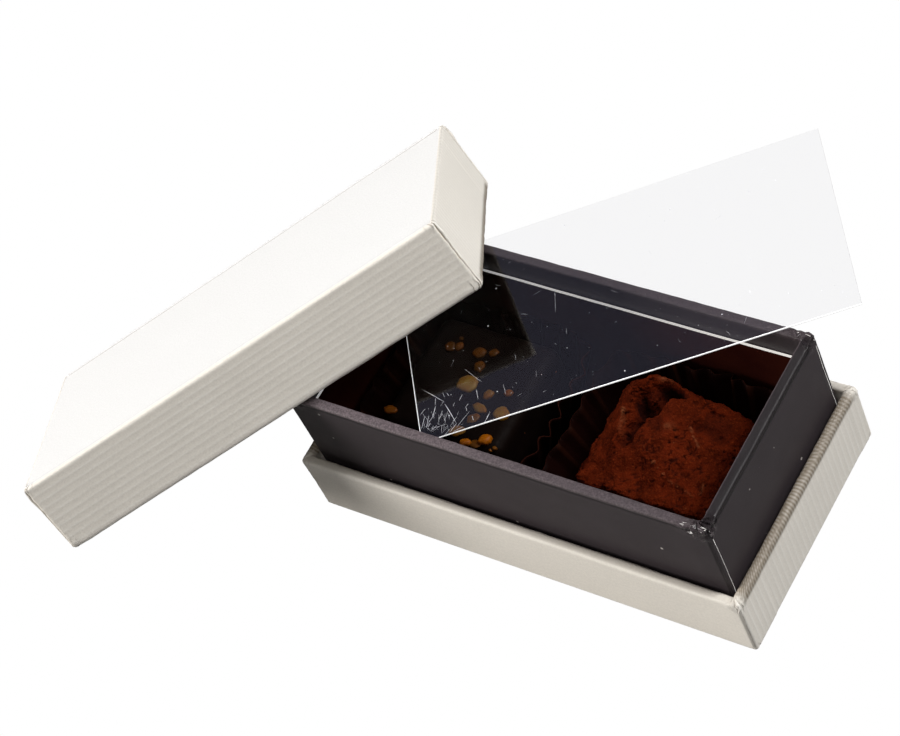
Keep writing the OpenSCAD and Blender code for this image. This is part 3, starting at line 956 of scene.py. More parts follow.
def build_tray_set(prefix, body, matrix, flap):
    """Paper wrap, board and corner tapes of the tray or the lid, drawn as a tray."""
    paper, tape, board, arm = in_mm("paper", "tape", "board", "tape_arm")
    roll, fold, turn_in, rib_pitch = in_mm("rim_roll", "fold_roll", "turn_in", "rib_pitch")
    rib_step = rib_pitch / 4
    xs, ys = spaced(BOX_LEN / 2, NEAR_END, 2.4), spaced(BOX_WID / 2, NEAR_CORNER, rib_step)
    path = wall_path(0, TRAY_H, inset=0, wall=2 * paper + tape + board, roll=roll,
                     foot_roll=fold, pitch=rib_step, flap_end=TRAY_H - turn_in, flap_pitch=1.6)
    sheet = FoldedSheet(BOX_LEN, BOX_WID, path, xs, ys, corner=0.75)
    wrap = make_mesh(prefix + "_paper", sheet.points, sheet.faces, True, sheet.uv)
    crushed = shape_wrap(wrap, sheet, TRAY_H, flap)
    flat_shade_where(wrap, crushed, 0.3)
    solidify(wrap, paper)

    skin = paper + tape
    xs, ys = (spaced(size / 2, (0.0, 0.4, 0.9, 2.0), 12) for size in (BOX_LEN, BOX_WID))
    path = wall_path(paper, TRAY_H - paper, inset=skin, wall=board, roll=roll - skin,
                     foot_roll=0.3, pitch=4.0, flap_end=paper + board, flap_pitch=4.0)
    shell = FoldedSheet(BOX_LEN, BOX_WID, path, xs, ys, corner=0.9, end_floor=True)
    core = make_mesh(prefix + "_greyboard", shell.points, shell.faces)
    tapes = build_tapes(prefix + "_tapes", BOX_LEN, BOX_WID, paper, arm, paper + 0.5,
                        TRAY_H - roll - paper, tape)
    for made in (wrap, core, tapes):
        made.matrix_world = matrix
    finish_piece(wrap, ["paper"], body, [prefix + "_wrap"])
    finish_piece(core, ["greyboard"], body, [prefix + "_board"])
    finish_piece(tapes, ["tape"], body, [prefix + "_corner_tapes"])


def build_tapes(name, length, width, inset, arm, low, high, thickness):
    """Four strips of tape, each bent round an upright corner."""
    steps = [arm, arm * 0.6, arm * 0.3, 1.0, 0.5, 0.25]
    half_x, half_y = length / 2 - inset, width / 2 - inset
    bend = ([(half_x - s, half_y) for s in steps] + [(half_x - 0.08, half_y - 0.08)]
            + [(half_x, half_y - s) for s in reversed(steps)])
    points, faces = [], []
    for sign_x, sign_y in CORNERS:
        faces += band_faces(len(points), len(bend), 2, closed=False, flip=sign_x * sign_y > 0)
        for height in (low, (low + high) / 2, high):
            points += [(sign_x * px, sign_y * py, height) for px, py in bend]
    return solidify(make_mesh(name, points, faces, smooth=False), thickness)


class BuildTray(bpy.types.Operator):
    """Builds the tray's ribbed paper, greyboard and corner tapes"""

    bl_idname = "chocolate_box.tray"
    bl_label = "Tray"

    def execute(self, context):
        build_tray_set("tray", "box", Matrix.Identity(4), flap=False)
        return {"FINISHED"}


class BuildLid(bpy.types.Operator):
    """Builds the lid's ribbed paper, greyboard and corner tapes where the lid leans"""

    bl_idname = "chocolate_box.lid"
    bl_label = "Lid"

    def execute(self, context):
        build_tray_set("lid", "lid", lid_matrix(), flap=True)
        return {"FINISHED"}


class BuildNeck(bpy.types.Operator):
    """Builds the neck's black paper, with its folds, corner crumples and paper seams"""

    bl_idname = "chocolate_box.neck"
    bl_label = "Neck"

    def execute(self, context):
        paper, tape, board, arm = in_mm("paper", "tape", "board", "tape_arm")
        roll, turn_in = in_mm("neck_roll", "neck_turn_in")
        wall = 2 * paper + tape + board
        path = wall_path(NECK_FOOT, NECK_TOP, inset=0, wall=wall, roll=roll, foot_roll=0,
                         pitch=0.3, flap_end=NECK_TOP - turn_in, flap_pitch=0.8)
        xs, ys = (spaced(size / 2, NEAR_END + (4.2, 5.0), 1.6) for size in (NECK_LEN, NECK_WID))
        sheet = FoldedSheet(NECK_LEN, NECK_WID, path, xs, ys, corner=0.8, start_floor=False)
        neck = make_mesh("neck_paper", sheet.points, sheet.faces, True, sheet.uv)
        self.shape(neck, sheet, wall)
        solidify(neck, paper)
        finish_piece(neck, ["neck"], "box", ["neck_wrap"])
        self.edges()
        self.core(paper + tape, board)
        tapes = build_tapes("neck_tapes", NECK_LEN, NECK_WID, paper + 0.15, arm,
                            NECK_FOOT + 0.5, NECK_TOP - 4.5, tape)
        finish_piece(tapes, ["tape"], "box", ["neck_corner_tapes"])
        return {"FINISHED"}

    def core(self, skin, board):
        """The greyboard walls, worn back under the folded corners and sloping rims."""
        path = wall_path(NECK_FOOT, NECK_TOP - skin - 0.35, inset=skin, wall=board, roll=0.3,
                         foot_roll=0, pitch=4.0, flap_end=NECK_FOOT, flap_pitch=4.0)
        xs, ys = (spaced(size / 2, (0.0, 0.5, 1.2, 2.4, 5.0), 12)
                  for size in (NECK_LEN, NECK_WID))
        sheet = FoldedSheet(NECK_LEN, NECK_WID, path, xs, ys, corner=0.9, start_floor=False)
        count = len(sheet.loop)
        last = (len(path) - 1) * count
        foot = [(i, last + i, last + (i + 1) % count, (i + 1) % count) for i in range(count)]
        made = make_mesh("neck_greyboard", sheet.points, sheet.faces + foot, smooth=False)
        at = sheet.places()
        normals = mesh_normals(made)
        low = np.clip(1 - at.to_corner / 5, 0, 1)
        under_rim = at.z < NECK_TOP - 1
        points = at.points - normals * (0.30 * low * under_rim)[:, None]
        points[:, 2] -= 1.6 * low ** 2 * (points[:, 2] > NECK_TOP - 1)
        set_points(made, points)
        finish_piece(made, ["greyboard"], "box", ["neck_board"])

    def shape(self, neck, sheet, wall):
        """Rounded end rims, a crease under the rim, bent corner zones and gathered corners."""
        at = sheet.places()
        normals = mesh_normals(neck)
        outside = at.inset < 0.3
        down = NECK_TOP - at.z
        away = smooth_step(1.0, 3.0, at.to_corner)
        # End rims slope outwards; all faces have a crease just under the rim
        slope = np.where(at.end_side, END_SLOPE,
                         np.where(at.side == BACK, BACK_SLOPE, FRONT_SLOPE))
        z_move = -slope * (1 - np.clip(at.inset / wall, 0, 1)) * (down < 1.0) * away
        crease = np.where(at.end_side, bump_at(down, 1.10, 0.42), bump_at(down, 0.95, 0.20))
        crease = crease * outside * away
        lift = -np.where(at.end_side, END_CREASE, LONG_CREASE) * crease
        # Near its corners the long faces turn back a little over the tabs under them
        bent_back = np.clip(1 - at.to_corner / 4.3, 0, 1) * outside * ~at.end_side
        lift -= BENT_BACK * bent_back ** 1.5
        lift += BENT_LIP * bump_at(at.to_corner, 4.4, 0.35) * outside * ~at.end_side
        lift += NECK_WAVE * cloud(at.points, 0.12, 2, 5.0) * outside
        lift += NECK_WAVE * cloud(at.points, 0.6, 3, 8.0) * (down < 2)
        # The corners are crumpled, most of all the one at the front right
        near, fold_up = gathers(at.from_x * 0.7, at.from_y, down, reach=4.2, folds=2.6, turn=0.1)
        inner = smooth_step(1.2, 2.2, np.minimum(at.from_x, at.from_y))
        near = near * (1 - 0.6 * inner) * np.where((at.x > 0) & (at.y < 0), 1, 0.5)
        rough = creases(at.points, 0.45, 2.0)
        lift += near * (NECK_FOLD * (fold_up - 0.30) + NECK_CRUSH * rough)
        points = at.points + normals * lift[:, None]
        points[:, 2] += z_move
        set_points(neck, points)
        # Painted sheen: the front rim is painted pale, most at its left, the back rim less, the end
        # rims only along their inner edge, and the crumpled corners a little.
        front = 0.95 - 0.45 * smooth_step(-30, 25, at.x)
        rubbed = np.where(at.end_side, 0.25 * bump_at(at.inset, wall - 0.2, 0.15),
                          np.where(at.side == FRONT, front, 0.30))
        top = (down < 0.45) * np.clip(rubbed * (1 - 0.5 * near), 0, 1)
        # The end rims are darkened: painted shade that holds down the lamps' sheen on them.
        dark_rim = 0.60 * at.end_side * (down < 0.8) * (at.inset < wall - 0.4)
        set_mask(neck, "fold", np.maximum(top, 0.35 * near))
        set_mask(neck, "crush", smooth_step(0.05, 0.35, near))
        # This seam mask is all painted shade: the crease under the rim, the crumples' valleys and
        # the end rims.
        set_mask(neck, "seam", np.maximum.reduce([0.95 * crease, 0.7 * near * (fold_up < 0.15),
                                                  dark_rim]))
        flat_shade_where(neck, near, 0.12)

    def edges(self):
        """Thin pale cut edges where the end papers stop beside each corner."""
        rng = random.Random(SEED)
        points, faces = [], []
        half_x, half_y, top, steps = NECK_LEN / 2, NECK_WID / 2, NECK_TOP, 24
        outside, under_rim = half_x + 0.04, top - 0.55
        slivers_shown, slivers_elsewhere = 7, 1
        for sign_x, sign_y in CORNERS:
            course = [(half_x - 1.5, 0.75, top + 0.10), (half_x - 0.5, 0.9, top - 0.02),
                      (outside, 1.0, under_rim)]
            for i in range(1, steps + 1):
                share = i / steps
                course.append((outside, 1.0 + 0.07 * math.sin(6 * share),
                               under_rim - (under_rim - NECK_FOOT) * share))
            faces += band_faces(len(points), 2, len(course) - 1, closed=False,
                                flip=sign_x * sign_y < 0)
            for px, away, z in course:
                wide = rng.uniform(0.03, 0.08)
                edge = half_y - away + rng.uniform(-0.03, 0.03)
                points += [(sign_x * px, sign_y * edge, z),
                           (sign_x * px, sign_y * (edge + wide), z)]
        # Torn white slivers that stand on the crumpled corners, most of them at the front right
        for sign_x, sign_y in CORNERS:
            shown = (sign_x, sign_y) == (1, -1)
            for _ in range(slivers_shown if shown else slivers_elsewhere):
                px, py = half_x - rng.uniform(0.1, 1.7), half_y - rng.uniform(0.0, 1.1)
                z, turn = top + rng.uniform(-0.5, 0.28), rng.uniform(0, math.pi)
                long, wide = rng.uniform(0.15, 0.45), rng.uniform(0.04, 0.10)
                faces.append(tuple(range(len(points), len(points) + 4)))
                for along, across in ((-1, 0), (0, -1), (1, 0.2), (0.1, 1)):
                    dx, dy = turned(along * long, across * wide, turn)
                    points.append((sign_x * (px + dx), sign_y * (py + dy), z + 0.2 * along))
        made = make_mesh("neck_paper_edges", points, faces)
        solidify(made, 0.05)
        finish_piece(made, ["core"], "box")


class BuildCardTray(bpy.types.Operator):
    """Builds the dark card tray, whose white core shows along its cut edge"""

    bl_idname = "chocolate_box.card_tray"
    bl_label = "Card tray"

    def execute(self, context):
        card, = in_mm("card")
        length = (CARD_HIGH.x - CARD_LOW.x) / MM
        width = (CARD_HIGH.y - CARD_LOW.y) / MM
        low, top = CARD_LOW.z / MM, CARD_HIGH.z / MM
        foot_fold, inner_fold = 0.25, 0.3
        path = [(foot_fold, low), (0.0, low + foot_fold)]
        path += straight(path[-1], (0.0, top), 3.0)
        path += [(card, top)]
        path += straight((card, top), (card, low + card + inner_fold), 3.0)
        path += [(card + inner_fold, low + card)]
        xs, ys = (spaced(size / 2, (0.0, 0.3, 0.8, 2.0), 4.0) for size in (length, width))
        sheet = FoldedSheet(length, width, path, xs, ys, corner=0.35, end_floor=True)
        made = make_mesh("card_tray_shown", sheet.points, sheet.faces, smooth=False)
        points = sheet.places().points
        x, y, z = points.T
        # The long walls bow inwards and the back one sags a little to the right
        rise = smooth_step(low + 6, top, z)
        bow = 0.12 * np.sin(math.pi * (x + length / 2) / length) * rise
        points[:, 1] -= np.sign(y) * bow * (np.abs(y) > width / 2 - 1)
        sag = smooth_step(0, length / 2, x) * 0.35 * (y > 0) + 0.12 * cloud(points, 0.07, 2, 1.0)
        points[:, 2] -= sag * smooth_step(top - 8, top, z)
        set_points(made, points)
        finish_piece(made, ["card", "core"], "box", ["card_tray"])
        # Only the cut edge on top shows the core
        for face in made.data.polygons:
            on_rim = min(sheet.points[v][2] for v in face.vertices) > top - 0.01
            face.material_index = int(on_rim)
        return {"FINISHED"}


PLEATS, PLEAT_STEPS, CUP_ROWS = 28, 14, 12
# A cup's height, how square its outline is, and its distance from the chocolate
CUP_H, CUP_SQUARE, CUP_EASE = 16.8, 6, 0.9


class BuildCups(bpy.types.Operator):
    """Builds the two pleated paper cups"""

    bl_idname = "chocolate_box.cups"
    bl_label = "Pleated cups"

    def execute(self, context):
        self.build("cup_left", "chocolate_left", seed=3)
        self.build("cup_right", "truffle_right", seed=5)
        return {"FINISHED"}

    def build(self, node, choc, seed):
        """One cup, whose pleats lean and rise unevenly round the chocolate in it."""
        paper, depth = in_mm("cup", "pleat")
        low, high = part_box(node)
        choc_low, choc_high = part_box(choc)
        centre = (low + high) / 2 / MM
        cell = (high - low) / MM
        inner = (choc_high - choc_low) / MM
        foot = low.z / MM + 0.08
        rng = random.Random(seed)
        lean = [rng.uniform(-1, 1) for _ in range(PLEATS)]
        tall = [rng.uniform(-1, 1) for _ in range(PLEATS)]
        count = PLEATS * PLEAT_STEPS
        points, crests = [], []
        for row in range(CUP_ROWS + 1):
            share = row / CUP_ROWS
            half_x = inner.x / 2 + CUP_EASE - 0.3 + (cell.x / 2 - inner.x / 2 - CUP_EASE) * share
            half_y = inner.y / 2 + CUP_EASE - 0.3 + (cell.y / 2 - inner.y / 2 - CUP_EASE) * share
            for i in range(count):
                pleat, step = divmod(i, PLEAT_STEPS)
                inside = step / PLEAT_STEPS
                after = (pleat + 1) % PLEATS
                wander = lean[pleat] * (1 - inside) + lean[after] * inside
                rise = tall[pleat] * (1 - inside) + tall[after] * inside
                angle = 2 * math.pi * (i / count) + 1.6 * wander * share / PLEATS
                fold = 1 - abs(2 * inside - 1)
                fold = fold * fold * (3 - 2 * fold)
                radius = ((abs(math.cos(angle)) / half_x) ** CUP_SQUARE
                          + (abs(math.sin(angle)) / half_y) ** CUP_SQUARE) ** (-1 / CUP_SQUARE)
                # Pleats deepen towards the edge, where each leans and rises in its own way
                deep = depth * (0.75 + 0.25 * rise)
                radius -= deep * (0.15 + 0.85 * share) * fold * min(1, 3 * share)
                radius -= 0.55 * (wander + 1) * share ** 2
                z = CUP_H * share + (0.5 * rise + 0.9 * fold ** 0.5 - 1.1) * share ** 3
                # Pleat crests painted lighter: a painted highlight along each fold's edge.
                crests.append(0.5 * share * smooth_step(0.80, 1.0, fold) * (1 + lean[pleat]))
                points.append((centre.x + radius * math.cos(angle),
                               centre.y + radius * math.sin(angle), foot + z))
        faces = band_faces(0, count, CUP_ROWS)
        hub = len(points)
        points.append((centre.x, centre.y, foot))
        faces += [(hub, (i + 1) % count, i) for i in range(count)]
        made = make_mesh(node + "_pleated", points, faces)
        set_mask(made, "fold", np.array(crests + [0.0]))
        solidify(made, paper).modifiers["Thickness"].material_offset_rim = 1
        finish_piece(made, ["cup", "cup edge"], "box", [node])


def even_copy(source, name, voxel_mm):
    """A new piece with the source's shape in even small faces."""
    remesh = source.modifiers.new("Even", "REMESH")
    remesh.mode = "VOXEL"
    remesh.voxel_size = voxel_mm * MM
    depsgraph = bpy.context.evaluated_depsgraph_get()
    mesh = bpy.data.meshes.new_from_object(source.evaluated_get(depsgraph))
    source.modifiers.clear()
    mesh.name = name
    mesh.polygons.foreach_set("use_smooth", [True] * len(mesh.polygons))
    return new_object(name, mesh)


def copy_of_node(node, name, voxel_mm):
    """A new piece from a frame node, with even small faces."""
    plain = new_object(name + "_plain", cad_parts[node].data.copy())
    plain.data.materials.clear()
    made = even_copy(plain, name, voxel_mm)
    bpy.data.objects.remove(plain)
    return made


class BuildLeftChocolate(bpy.types.Operator):
    """Builds the coated square chocolate and the nut pieces on it"""

    bl_idname = "chocolate_box.left_chocolate"
    bl_label = "Left chocolate and nuts"

    def execute(self, context):
        made = copy_of_node("chocolate_left", "chocolate_left_coated", voxel_mm=0.45)
        points, normals = mesh_points(made), mesh_normals(made)
        lift = 0.18 * cloud(points, 0.12, 3, 2.0) + 0.05 * cloud(points, 0.8, 2, 6.0) - 0.08
        set_points(made, points + normals * lift[:, None])
        finish_piece(made, ["chocolate"], "box", ["chocolate_left"])
        self.nuts()
        return {"FINISHED"}

    # Nut pieces: place from the chocolate's middle, two radii, turn, height, paleness, and
    # darkening by roasting and painted shade, near 1 in the lid's shadow
    NUTS = (
        (-7.7, 6.0, 1.15, 1.0, 20, 0.6, 0.25, 0.96), (-6.0, 6.6, 1.0, 0.9, 70, 0.6, 0.3, 0.96),
        (-6.6, 8.4, 0.45, 0.4, 0, 0.4, 0.2, 0.96), (-1.3, 6.6, 1.35, 1.2, 10, 0.6, 0.6, 0.96),
        (1.5, 7.4, 1.0, 0.85, 40, 0.5, 0.0, 0.96), (0.3, 3.7, 1.25, 1.1, 80, 0.6, 0.6, 0.96),
        (0.1, -0.6, 2.25, 1.9, 15, 0.9, 0.9, 0.15), (5.4, -1.5, 1.15, 0.95, 60, 0.9, 0.7, 0.55),
        (9.0, 0.1, 0.95, 0.75, 30, 0.5, 0.2, 0.75), (5.3, -4.7, 1.65, 1.0, -15, 0.7, 0.9, 0.35),
        (10.0, -4.5, 1.6, 1.5, 0, 0.8, 0.8, 0.25), (3.5, -10.6, 1.7, 1.1, 20, 0.5, 0.7, 0.5),
        (5.1, -7.1, 1.4, 1.0, 50, 0.35, 0.8, 0.8), (6.5, -12.4, 1.2, 0.75, 25, 1.1, 0.0, 0.15),
        (10.0, -10.6, 1.35, 1.1, 35, 1.3, 0.0, 0.0), (-11.9, -10.6, 1.5, 0.85, 10, 0.6, 0.0, 0.7),
        (12.6, -11.7, 0.5, 0.4, 0, 0.6, 0.3, 0.7), (12.0, -12.4, 0.35, 0.3, 0, 0.5, 0.2, 0.7),
        (8.3, -11.9, 1.3, 0.9, 10, 0.15, 0.5, 0.9),
    )

    def nuts(self):
        """Chopped pieces, each an uneven flattened lump set into the coating."""
        centre = (LEFT_LOW + LEFT_HIGH) / 2 / MM
        top = LEFT_HIGH.z / MM
        points, faces, tints, roast_and_shade_values = [], [], [], []
        rings, around, roughness, apart = 8, 22, 0.22, 3.7
        for number, (x, y, long, short, turn, height, pale, roast_and_shade) in enumerate(self.NUTS):
            start = len(points)
            body = [direction(math.pi * ring / rings, 2 * math.pi * i / around)
                    for ring in range(1, rings) for i in range(around)]
            body += [(0, 0, 1), (0, 0, -1)]
            for px, py, pz in body:
                place = Vector((px, py, 0.4 * pz)) * 1.5 + Vector((number * apart, 0, 0))
                rough = 1 + roughness * noise.fractal(place, 1, 2, 4)
                flat = math.copysign(abs(pz) ** 0.6, pz)
                px, py = turned(px * rough * long, py * rough * short, math.radians(turn))
                pz = flat * (0.5 * height + 0.15) * (1 + 0.5 * (rough - 1))
                points.append((centre.x + x + px, centre.y + y + py,
                               top + pz + 0.3 * height - 0.1))
                tints.append(pale)
                roast_and_shade_values.append(roast_and_shade)
            faces += band_faces(start, around, rings - 2, flip=True)
            cap, base = start + (rings - 1) * around, start + (rings - 1) * around + 1
            last = start + (rings - 2) * around
            faces += [(cap, start + i, start + (i + 1) % around) for i in range(around)]
            faces += [(base, last + (i + 1) % around, last + i) for i in range(around)]
        made = make_mesh("nut_pieces_chopped", points, faces)
        set_mask(made, "tint", np.array(tints))
        set_mask(made, "roast_and_shade", np.array(roast_and_shade_values))
        finish_piece(made, ["nut"], "box", ["nut_pieces"])


class BuildTruffle(bpy.types.Operator):
    """Builds the rough truffle with its ridge, hollow, crack and crumbs"""

    bl_idname = "chocolate_box.truffle"
    bl_label = "Truffle"

    # Wide forms seen from above: x, y, reach along x and y, turn in degrees, rise, steepness
    FORMS = (
        (17.4, 6.7, 4.0, 2.7, 50, -5.2, 4.0), (19.4, 8.7, 2.8, 1.7, 25, -4.2, 3.0),
        (16.4, 7.2, 1.4, 2.0, -20, 4.0, 3.0), (21.4, 6.6, 2.0, 2.6, 25, 1.5, 1.6),
        (19.8, 1.8, 1.7, 2.4, 35, -1.7, 1.4), (15.9, -0.2, 1.3, 3.6, -8, -2.2, 1.6),
        (22.6, 1.6, 1.6, 1.0, 30, 0.5, 2.5), (30.0, 5.6, 3.6, 4.0, 0, -1.2, 2.0),
        (27.3, 4.6, 0.6, 2.8, 10, -1.1, 1.5), (28.6, -5.4, 1.2, 1.0, 0, -0.7, 2.0),
        (32.6, -1.0, 1.3, 2.0, 0, -0.6, 2.0), (13.5, -8.0, 4.0, 3.0, 0, 0.2, 1.3),
    )
    # Raised ridges: their line, width and rise
    RIDGES = (
        (((12.6, 2.4), (12.0, 4.6), (12.4, 7.0), (14.0, 9.2), (16.0, 10.8), (18.6, 11.6)), 0.9,
         1.5),
        (((13.2, 2.2), (13.4, -1.2), (14.2, -4.6)), 0.65, 1.9),
        (((26.2, 5.8), (26.5, 3.0), (28.1, 1.2), (29.6, -0.2)), 0.7, 0.8),
        (((26.5, -7.4), (29.6, -8.2), (32.8, -9.2)), 0.35, 0.35),
        (((33.3, -5.8), (33.4, -8.0)), 0.6, 0.9), (((30.0, -9.9), (31.6, -10.6)), 0.5, 0.4),
        (((24.0, 9.0), (28.0, 9.8), (32.5, 10.0)), 0.8, 0.4),
        (((9.0, -13.4), (20.0, -13.8), (33.0, -13.4)), 2.6, 2.8),
    )
    # Places painted pale, as bare ganache on the lips and as painted highlights on lit ridges and
    # the crack's edge: line, width and strength
    CRUSTS_AND_HIGHLIGHTS = (
        (((13.2, 2.0), (13.6, 0.2)), 0.30, 0.75), (((13.8, -0.6), (14.1, -2.0)), 0.35, 0.35),
        (((26.5, 3.0), (27.0, 2.3)), 0.20, 0.7),
        (((27.4, 1.7), (28.1, 1.2), (29.3, 0.0)), 0.13, 0.8),
        (((22.8, 1.1), (23.6, 1.5)), 0.60, 0.30), (((26.6, -7.5), (32.6, -9.2)), 0.15, 0.3),
        (((16.4, 10.5), (18.4, 10.9)), 0.5, 0.35), (((33.2, -6.4), (33.4, -8.0)), 0.3, 0.5),
    )
    # Small pits: x, y, reach and depth
    PITS = ((18.3, -2.4, 0.50, 0.9), (15.3, -1.7, 0.35, 0.8), (16.6, -3.2, 0.25, 0.5),
            (28.6, -5.6, 0.35, 0.6), (11.0, -6.0, 0.35, 0.6), (24.2, 8.6, 0.5, 0.9),
            (27.2, 7.8, 0.45, 0.6), (17.0, -8.8, 0.3, 0.4), (12.0, 4.4, 0.3, 0.5),
            (20.6, -6.4, 0.25, 0.5), (30.8, -5.0, 0.3, 0.4), (11.6, 1.0, 0.3, 0.5))
    # Loose crumbs: x, y and radius
    CRUMBS = ((22.9, -5.6, 0.5), (25.3, -6.8, 0.36), (24.0, -6.2, 0.16), (27.6, -8.0, 0.18),
              (32.5, -11.9, 0.18), (25.0, -1.1, 0.14), (19.9, -3.4, 0.15), (29.0, -8.3, 0.2))

    # Depths of its lumps and knobs, its scales and grit, its furrows, and its front's lean
    LUMP, KNOB, SCALES, GRIT, FURROW, LEAN = 0.55, 0.40, 0.26, 0.09, 0.45, 1.5

    @staticmethod
    def line_distance(x, y, line):
        """How far each point lies from a line of several stretches, seen from above."""
        near = np.full(len(x), 99.0)
        for (ax, ay), (bx, by) in zip(line, line[1:]):
            dx, dy = bx - ax, by - ay
            share = np.clip(((x - ax) * dx + (y - ay) * dy) / (dx * dx + dy * dy), 0, 1)
            near = np.minimum(near, np.hypot(x - ax - share * dx, y - ay - share * dy))
        return near

    def forms(self, x, y):
        """Rise of the truffle's top at each place, with ragged outlines."""
        flat = np.column_stack([x, y, np.zeros(len(x))])
        x = x + 0.8 * cloud(flat, 0.42, 3, 21.0)
        y = y + 0.8 * cloud(flat, 0.42, 3, 33.0)
        rise = np.zeros(len(x))
        for px, py, reach_x, reach_y, turn, amount, steep in self.FORMS:
            u, v = turned(x - px, y - py, -math.radians(turn))
            rise += amount * np.exp(-((u / reach_x) ** 2 + (v / reach_y) ** 2) ** steep)
        for line, width, amount in self.RIDGES:
            rise += amount * bump_at(self.line_distance(x, y, line), 0, width)
        for px, py, reach, amount in self.PITS:
            rise -= amount * np.exp(-(((x - px) ** 2 + (y - py) ** 2) / reach ** 2) ** 1.5)
        return rise

    def execute(self, context):
        rough = copy_of_node("truffle_right", "truffle_rough", voxel_mm=0.5)
        points, normals = mesh_points(rough), mesh_normals(rough)
        top = smooth_step(0.0, 0.5, normals[:, 2])
        knobs = cloud(points, 0.34, 3, 4.0)
        lumps = self.LUMP * cloud(points, 0.15, 2, 1.0) + self.KNOB * knobs - 0.1
        points = points + normals * lumps[:, None]
        # The front's top leans out over the cup
        lean = smooth_step(16.5, 19.0, points[:, 2]) * smooth_step(9.5, 12.5, -points[:, 1])
        points[:, 1] -= self.LEAN * lean
        points[:, 2] += self.forms(points[:, 0], points[:, 1]) * top
        set_points(rough, points)
        made = even_copy(rough, "truffle_dusted", voxel_mm=0.25)
        bpy.data.objects.remove(rough)
        points, normals = mesh_points(made), mesh_normals(made)
        x, y, z = points.T
        # Fine scales and furrows of powder run from the front left to the back right
        swept = np.column_stack([0.8 * x + 0.6 * y, 2.0 * (0.8 * y - 0.6 * x), 1.5 * z])
        grit = self.SCALES * cloud(swept, 0.50, 4, 7.0) + self.GRIT * cloud(points, 3.2, 2, 2.0)
        furrow = np.clip(1 - 5 * np.abs(cloud(swept, 0.30, 3, 5.0)), 0, 1) ** 2
        furrow *= smooth_step(-0.1, 0.35, cloud(points, 0.22, 2, 15.0))
        pores = np.clip(cloud(swept, 0.75, 3, 11.0) - 0.46, 0, 1) * 1.6
        lift = grit - pores - self.FURROW * furrow - 0.05
        set_points(made, points + normals * lift[:, None])
        # Painted shade darkens the powder in the hollow, but not on the lump in it, and in pores
        # and furrows; random dark patches join it
        sunk, on_top, lump_x, lump_y = -self.forms(x, y), z > 15, 16.4, 7.2
        deep = smooth_step(1.4, 2.4, sunk) * on_top
        deep *= smooth_step(1.2, 2.0, np.hypot(x - lump_x, y - lump_y))
        patches = np.clip(-cloud(points, 0.33, 3, 4.0) - 0.34, 0, 1) * 0.5
        patches = np.maximum(patches, 0.5 * smooth_step(0.5, 1.3, sunk) * on_top)
        set_mask(made, "hollow", np.maximum.reduce([deep, patches, pores * 1.4, 0.9 * furrow]))
        # Bare ganache and painted highlights show in broken lines where the surface faces up
        pale = np.zeros(len(points))
        broken = smooth_step(0.1, 0.5, normals[:, 2]) * (0.6 + 0.6 * cloud(points, 1.2, 2, 5.0))
        for line, width, amount in self.CRUSTS_AND_HIGHLIGHTS:
            here = bump_at(self.line_distance(x, y, line), 0, width)
            pale = np.maximum(pale, amount * here * broken)
        set_mask(made, "pale", pale)
        finish_piece(made, ["cocoa"], "box", ["truffle_right"])
        self.crumbs(made)
        return {"FINISHED"}

    def crumbs(self, truffle):
        """Loose crumbs lying on the truffle."""
        points, faces, corners, golden_turn = [], [], 14, 2.4
        for number, (x, y, radius) in enumerate(self.CRUMBS):
            hit, spot, _, _ = truffle.ray_cast(Vector((x * MM, y * MM, 0.1)), Vector((0, 0, -1)))
            if not hit:
                raise RuntimeError("a crumb has no truffle under it")
            start = len(points)
            for k in range(corners):
                tilt = math.acos(1 - 2 * (k + 0.5) / corners)
                out = Vector(direction(tilt, k * golden_turn))
                size = radius * (1 + 0.35 * noise.noise(out * 2 + Vector((number, 0, 0))))
                points.append((spot.x / MM + out.x * size, spot.y / MM + out.y * size,
                               spot.z / MM + 0.45 * radius + out.z * size * 0.8))
            faces += hull_faces(points[start:], start)
        made = make_mesh("truffle_crumbs", points, faces, smooth=False)
        set_mask(made, "pale", np.full(len(points), 0.25))
        finish_piece(made, ["cocoa"], "box")


def hull_faces(points, start):
    """Faces of the convex hull of a few points, numbered from start."""
    work = bmesh.new()
    for i, point in enumerate(points):
        work.verts.new(point).index = i
    work.verts.index_update()
    bmesh.ops.convex_hull(work, input=work.verts)
    faces = [tuple(start + v.index for v in face.verts) for face in work.faces]
    work.free()
    return faces


